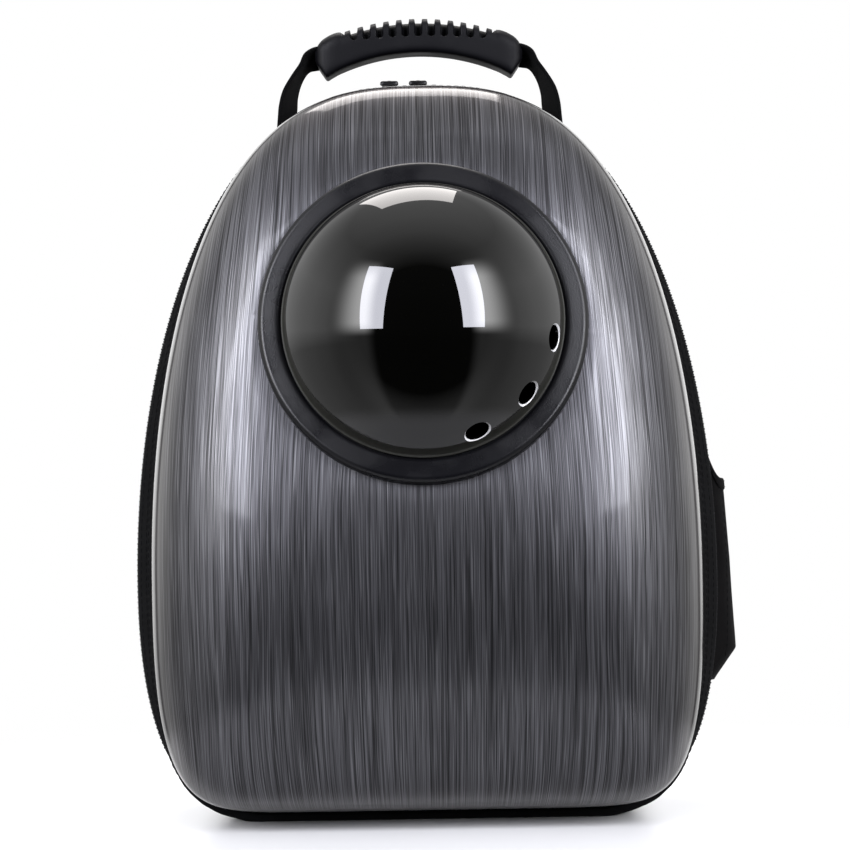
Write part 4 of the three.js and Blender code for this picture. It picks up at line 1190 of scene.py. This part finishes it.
GRIP_HALF, GRIP_END = 15.0, 59.3
GRIP_UNDER, GRIP_UNDER_ARC, GRIP_TOP, GRIP_TOP_ARC = 434.0, 114, 454.0, 136  # heights in the middle and radii
GRIP_ENDS = (  # x, underside, top and half depth of the grip's solid ends
    (44.5, 425.0, 447.1, GRIP_HALF), (47.0, 423.8, 446.9, GRIP_HALF), (50.2, 422.0, 445.8, 14.8),
    (53.0, 420.7, 444.3, 14.4), (55.4, 423.6, 442.6, 13.8), (57.6, 427.0, 440.0, 12.4), (GRIP_END, 430.6, 436.6, 9.8),
)
RIB_PITCH, RIB_HALF, RIB_LAST = 7.4, 1.45, 40.7
GAP_SHARE, GAP_DROP, GAP_LINE = 0.42, 2.2, 443.0  # how deep the gaps between ribs are cut, and where they end
HANDLE_LEG = (  # x, height and turn of a webbing leg
    (54.0, 433.4, 24), (58.8, 432.6, 24), (62.6, 430.8, 20), (66.2, 427.2, 9), (70.6, 420.6, 10), (74.2, 412.4, 16),
    (75.6, 404.6, 20), (76.4, 397.0, 20), (77.2, 388.0, 20),
)


class CARRIER_OT_handle(bpy.types.Operator):
    """Builds the ribbed grip and the two webbing legs of the grab handle"""
    bl_idname = "carrier.handle"
    bl_label = "Grab handle"

    def execute(self, context):
        shell, soft = context.scene.carrier_shell, context.scene.carrier_soft
        self.grip(moulding_material("grip_moulding", shell.moulding[:], 0.5, 0.0007, 0.1))
        webbing = cloth_material("handle_webbing", soft.webbing[:], WEBBING_PITCH, SEAM_SHEEN, WEBBING_RELIEF)
        for side, sign in (("left", -1), ("right", 1)):
            leg = flowing(HANDLE_LEG, 90)
            turn = np.radians(leg[:, 2])
            dip = np.sin(turn)
            along = unit(np.gradient(leg[:, :2], axis=0))
            across = np.stack([-sign * along[:, 1] * dip, -np.cos(turn), along[:, 0] * dip], axis=1)
            rows, _, _ = bands(place(sign * leg[:, 0], GRIP_DEPTH, leg[:, 1]), across, webbing_section())
            form = Form()
            form.grid(rows, caps=True)
            form.piece(f"grab_webbing_{side}", [webbing], slot="webbing", replaces=[f"handle_web_{side}"])
        return {"FINISHED"}

    def grip(self, moulding):
        """The arched grip, cut back between its ribs."""
        x = np.linspace(-GRIP_END, GRIP_END, 470)
        low = GRIP_UNDER - GRIP_UNDER_ARC + np.sqrt(GRIP_UNDER_ARC**2 - x**2)
        top = GRIP_TOP - GRIP_TOP_ARC + np.sqrt(GRIP_TOP_ARC**2 - x**2)
        half = np.full_like(x, GRIP_HALF)
        ends = flowing(GRIP_ENDS, 80)
        end = np.abs(x) > ends[0, 0]
        for values, column in ((low, 1), (top, 2), (half, 3)):
            values[end] = np.interp(np.abs(x[end]), ends[:, 0], ends[:, column])
        turn = np.linspace(0, 2 * math.pi, 2400, endpoint=False)
        section = np.stack([np.cos(turn), np.sin(turn)], axis=1)
        corner = np.where(section[:, 1:] < 0, 7.0, 3.6)  # squarer below than above
        across, up = even(np.sign(section) * np.abs(section) ** (2 / corner), 160, closed=True).T
        depth = half[:, None] * across
        z = (low + top)[:, None] / 2 + (top - low)[:, None] / 2 * up
        gap = self.gaps(x[:, None], z)
        depth = depth * (1 - GAP_SHARE * gap)
        z = z - GAP_DROP * gap * smooth(up)
        form = Form()
        form.grid(place(x[:, None], GRIP_DEPTH + depth, z), caps=True)
        form.piece("ribbed_grip", [moulding], slot="moulding", replaces=["handle_grip"])

    def gaps(self, x, z):
        """1 in the gaps between the ribs, which end low down on a line that rises at its ends, and 0 elsewhere."""
        from_rib = np.abs(x % RIB_PITCH - RIB_PITCH / 2)
        from_rib = np.where(np.abs(x) > RIB_LAST, np.abs(x) - RIB_LAST, from_rib)
        between = smooth(from_rib, RIB_HALF, RIB_HALF + 0.5)
        line = GAP_LINE - 0.0014 * x**2 + 0.075 * np.clip(np.abs(x) - 35, 0, None) ** 2
        corner = 1.5 * np.clip((RIB_PITCH / 2 - from_rib) / 2.3, 0, 1) ** 3 * (np.abs(x) < RIB_LAST)
        return between * smooth(z, line + corner, line + corner + 0.8)


# Side pocket

POCKET_PANEL = np.array([(73, 163), (91, 175.8), (142, 173.3), (188, 169.3)])  # height and x of the outer panel
POCKET_FRONT, POCKET_BACK, POCKET_TOP, HEM_HEIGHT = -8.0, -90.0, 188.0, 7.0
POCKET_WALL, POCKET_CORNER, POCKET_TURN = 1.6, 3.5, 3.0
WALL_POINTS = 120  # across the pocket's wall
MEASURED_ROW, SEWN_ROW = 20, 6  # rows of the wall at which its width is taken and its seams start
POCKET_SEAMS = ((10, -1.0), (108, 1.0))  # sewn columns of the wall, and the way along Y that they face


class CARRIER_OT_pocket(bpy.types.Operator):
    """Builds the open-topped side pocket from one sheet of cloth, and its hem"""
    bl_idname = "carrier.pocket"
    bl_label = "Side pocket"

    def execute(self, context):
        look = context.scene.carrier_soft
        cloth = cloth_material("pocket_cloth", look.pocket[:], look.weave_pitch, POCKET_SHEEN)
        thread = thread_material(look.thread[:])
        heights = np.concatenate([np.linspace(73, 88, 7), np.linspace(89, 94, 8), np.linspace(96, 181, 30)])
        walls = [self.wall(z, 0.0) for z in heights]
        linings = [self.wall(z, POCKET_WALL) for z in heights]
        form = Form()
        form.grid([np.vstack([a, b[::-1]]) for a, b in zip(walls, linings)], caps=True)
        seams = np.array(walls)
        for column, facing in POCKET_SEAMS:
            sewn = seams[SEWN_ROW:, column]
            form.stitches(sewn, np.tile((0, facing, 0), (len(sewn), 1)))
        pocket = form.piece("pocket_sheet", [cloth, thread], slot="fabric", replaces=["side_pocket"])
        hem = self.hem(cloth, thread)
        return {"FINISHED"}

    def outer(self, z):
        """x of the outer panel at a height, with its bends softened."""
        near = np.array([-0.8, 0, 0.8])
        return np.interp(z + near, POCKET_PANEL[:, 0], POCKET_PANEL[:, 1]).mean()

    def wall(self, z, inset):
        """The pocket's wall at a height, from the body in front round to the body behind."""
        out = self.outer(z) - inset
        front, back = POCKET_FRONT - inset, POCKET_BACK + inset
        starts = [rear_half_width(depth, z) - 1.5 for depth in (front, back)]
        out = max(out, max(starts) + 1.0)
        slack = 1.6 * smooth(z, 80, 180)
        turned = out - POCKET_CORNER
        corners = [(starts[0], front), (turned, front), (out, front - POCKET_CORNER),
                   (out + slack, (front + back) / 2),
                   (out, back + POCKET_CORNER), (turned, back), (starts[1], back)]
        line = even(flat_corners(corners, POCKET_TURN), WALL_POINTS)
        soft = 0.35 * np.sin(line[:, 1] / 9 + z / 21) * smooth(line[:, 0], starts[0], out) * smooth(z, 80, 110)
        seam = np.clip(1 - (line[:, 0] - starts[0] - 1) / 8, 0, 1) ** 2.2 * (line[:, 1] > (front + back) / 2)
        lift = 22 * seam * smooth(z, 130, POCKET_TOP)  # the mouth sweeps up to its front seam
        narrows = np.array([rear_half_width(front, z + up) - rear_half_width(front, z) for up in lift])
        return place(line[:, 0] + soft + narrows, line[:, 1], z + lift)

    def hem(self, cloth, thread):
        """The folded hem round the pocket's mouth, with two rows of stitches."""
        turn = np.linspace(0, 2 * math.pi, 16, endpoint=False)
        rows = []
        for t in turn:
            z = POCKET_TOP - HEM_HEIGHT / 2 + HEM_HEIGHT / 2 * np.sign(np.sin(t)) * abs(np.sin(t)) ** 0.5
            rows.append(self.wall(z, 0.75 - 1.5 * np.sign(np.cos(t)) * abs(np.cos(t)) ** 0.6))
        form = Form()
        form.grid(np.swapaxes(rows, 0, 1), caps=True)
        for z in (POCKET_TOP - 1.8, POCKET_TOP - 5.2):
            line = self.wall(z, -0.8)
            along = np.gradient(line, axis=0)
            form.stitches(line, unit(np.stack([-along[:, 1], along[:, 0], 0 * along[:, 0]], axis=1)))
        return form.piece("pocket_hem_binding", [cloth, thread], slot="fabric", replaces=["pocket_hem"])


def flat_corners(corners, radius):
    """An open line of (a, b) corners with its inner corners turned softly."""
    closed = rounded(corners, radius)
    steps = len(closed) // len(corners)
    return np.vstack([corners[0], closed[steps:-steps], corners[-1]])


# Shoulder straps

# Paths of the pad and the webbing: x, height and distance behind the back panel.
STRAP_PATH = (
    (42, 380, -12), (45, 368, 2), (50, 350, 18), (58, 318, 34), (68, 278, 45), (78, 234, 49), (86, 190, 45),
    (92, 152, 36), (95, 128, 29),
)
WEB_PATH = ((97.6, 102.5, 21), (101, 82, 13), (105, 64, 3), (108, 50, -8), (109, 42, -18))
STRAP_ROWS, WEB_ROWS = 150, 60
STRAP_HALF, STRAP_THICKNESS, STRAP_LEAN = 29.0, 10.0, 0.2


class CARRIER_OT_straps(bpy.types.Operator):
    """Builds the two padded shoulder straps with their adjusters and lower webbing"""
    bl_idname = "carrier.straps"
    bl_label = "Shoulder straps"

    def execute(self, context):
        shell, soft = context.scene.carrier_shell, context.scene.carrier_soft
        # The straps and their webbing take the rear cloth's paler colour, which is painted light.
        cloth = cloth_material("strap_cloth", soft.rear_cloth[:], soft.weave_pitch, REAR_SHEEN)
        webbing = cloth_material("strap_webbing", soft.rear_cloth[:], WEBBING_PITCH, REAR_SHEEN, WEBBING_RELIEF)
        moulding = moulding_material("adjuster_moulding", shell.moulding[:], 0.4, 0.0005, 0.25)
        thread = rear_thread_material(soft)
        for side, sign in (("left", -1), ("right", 1)):
            self.strap(side, sign, cloth, thread)
            path, across = self.path(WEB_PATH, sign, WEB_ROWS)
            rows, _, _ = bands(path, across, webbing_section())
            form = Form()
            form.grid(rows, caps=True)
            form.piece(f"lower_webbing_{side}", [webbing], slot="webbing", replaces=[f"strap_web_{side}"])
            self.adjuster(side, sign, moulding)
        return {"FINISHED"}

    def path(self, points, sign, count):
        """A path in the part's frame, and the direction across it."""
        x, z, lift = flowing(points, count).T
        return place(sign * x, BACK - lift, z), np.array([1, 0, sign * STRAP_LEAN])

    def strap(self, side, sign, cloth, thread):
        """A crowned pad between bound edges, with a sunk seam inside each edge and a quilted line across it."""
        w = np.linspace(-1, 1, 45)
        crown = STRAP_THICKNESS / 2 * (1 - np.abs(w) ** 5) ** 0.6
        crown = np.maximum(crown, 1.7 * np.sqrt(np.maximum(1 - ((np.abs(w) - 0.94) / 0.06).clip(0, 1) ** 2, 0)))
        crown -= 1.3 * np.exp(-(((np.abs(w) - 0.83) / 0.03) ** 2))
        path, across = self.path(STRAP_PATH, sign, STRAP_ROWS)
        share = np.linspace(0, 1, len(path))[:, None]
        puff = 1 - 0.18 * np.exp(-(((share * 7 + 0.5) % 1 - 0.5) / 0.07) ** 2) * (np.abs(w) < 0.8)
        ends = np.sqrt(np.clip(1 - ((share - 0.985) / 0.015).clip(0, 1) ** 2, 0.03, 1))
        _, out, wide = bands(path, across, np.zeros((1, 2)))
        flat = path[:, None] + wide[:, None] * (w * STRAP_HALF)[:, None]
        top, under = ((flat + sign_out * out[:, None] * (crown * puff * ends)[..., None]) for sign_out in (1, -1))
        form = Form()
        form.grid(np.concatenate([top, under[:, -2:0:-1]], axis=1), caps=True)
        for column in (4, 40):
            form.stitches(top[6:-3, column], out[6:-3])
            form.stitches(under[6:-3, column], -out[6:-3])
        strap = form.piece(
            f"padded_strap_{side}", [cloth, thread], slot="fabric", replaces=[f"shoulder_strap_{side}"])

    def adjuster(self, side, sign, moulding):
        """A flat frame with a middle bar, its bars rounded."""
        low, high = self.path(WEB_PATH, sign, WEB_ROWS)[0][0], self.path(STRAP_PATH, sign, STRAP_ROWS)[0][-1]
        up = unit(high - low)
        out = unit(np.cross((1, 0, sign * STRAP_LEAN), up))
        right = np.cross(up, out)
        middle, tall = (low + high) / 2, np.linalg.norm(high - low) - 1.6
        section = rounded([(2, 2.5), (-2, 2.5), (-2, -2.5), (2, -2.5)], 1.5, 4)
        half = tall / 2 - 2
        corners = rounded([(15, half), (-15, half), (-15, -half), (15, -half)], 3.0, 6)
        at = even(corners, 72, closed=True)
        away = outwards(at[::-1])[::-1]
        rows = [middle + right * p[0] + up * p[1] + np.outer(section[:, 0], right * o[0] + up * o[1])
                + np.outer(section[:, 1], out) for p, o in zip(at, away)]
        form = Form()
        form.grid(rows, ring=True)
        bar = [middle + right * x + np.outer(section[:, 0], up) + np.outer(section[:, 1] * 0.8, out)
               for x in np.linspace(-14.5, 14.5, 7)]
        form.grid(bar, caps=True)
        form.piece(f"slide_adjuster_{side}", [moulding], slot="moulding", replaces=[f"strap_adjuster_{side}"])


# Add-on

OPERATORS = (
    CARRIER_OT_stage, CARRIER_OT_front_shell, CARRIER_OT_window_ring, CARRIER_OT_bubble_dome, CARRIER_OT_seam,
    CARRIER_OT_zip, CARRIER_OT_rear_body, CARRIER_OT_handle, CARRIER_OT_pocket, CARRIER_OT_straps,
)
LOOKS = {"carrier_shell": CarrierShellLook, "carrier_soft": CarrierSoftLook, "carrier_stage": CarrierStageLook}


class CARRIER_PT_pieces(bpy.types.Panel):
    """Lists the carrier's looks and its pieces"""
    bl_idname = "CARRIER_PT_pieces"
    bl_label = "Pet Carrier Backpack"
    bl_space_type = "VIEW_3D"
    bl_region_type = "UI"
    bl_category = "Carrier"

    def draw(self, context):
        for name, look in LOOKS.items():
            box = self.layout.box()
            for value in look.__annotations__:
                box.prop(getattr(context.scene, name), value)
        for operator in OPERATORS:
            self.layout.operator(operator.bl_idname)


def register():
    for cls in (*LOOKS.values(), *OPERATORS, CARRIER_PT_pieces):
        bpy.utils.register_class(cls)
    for name, look in LOOKS.items():
        setattr(bpy.types.Scene, name, bpy.props.PointerProperty(type=look))


def unregister():
    for name in LOOKS:
        delattr(bpy.types.Scene, name)
    for cls in reversed((*LOOKS.values(), *OPERATORS, CARRIER_PT_pieces)):
        bpy.utils.unregister_class(cls)


def main():
    register()
    for build in (weave_group, grain_group, dust_group):
        build()
    for operator in OPERATORS:
        family, name = operator.bl_idname.split(".")
        getattr(getattr(bpy.ops, family), name)()


if __name__ == "__main__":
    main()
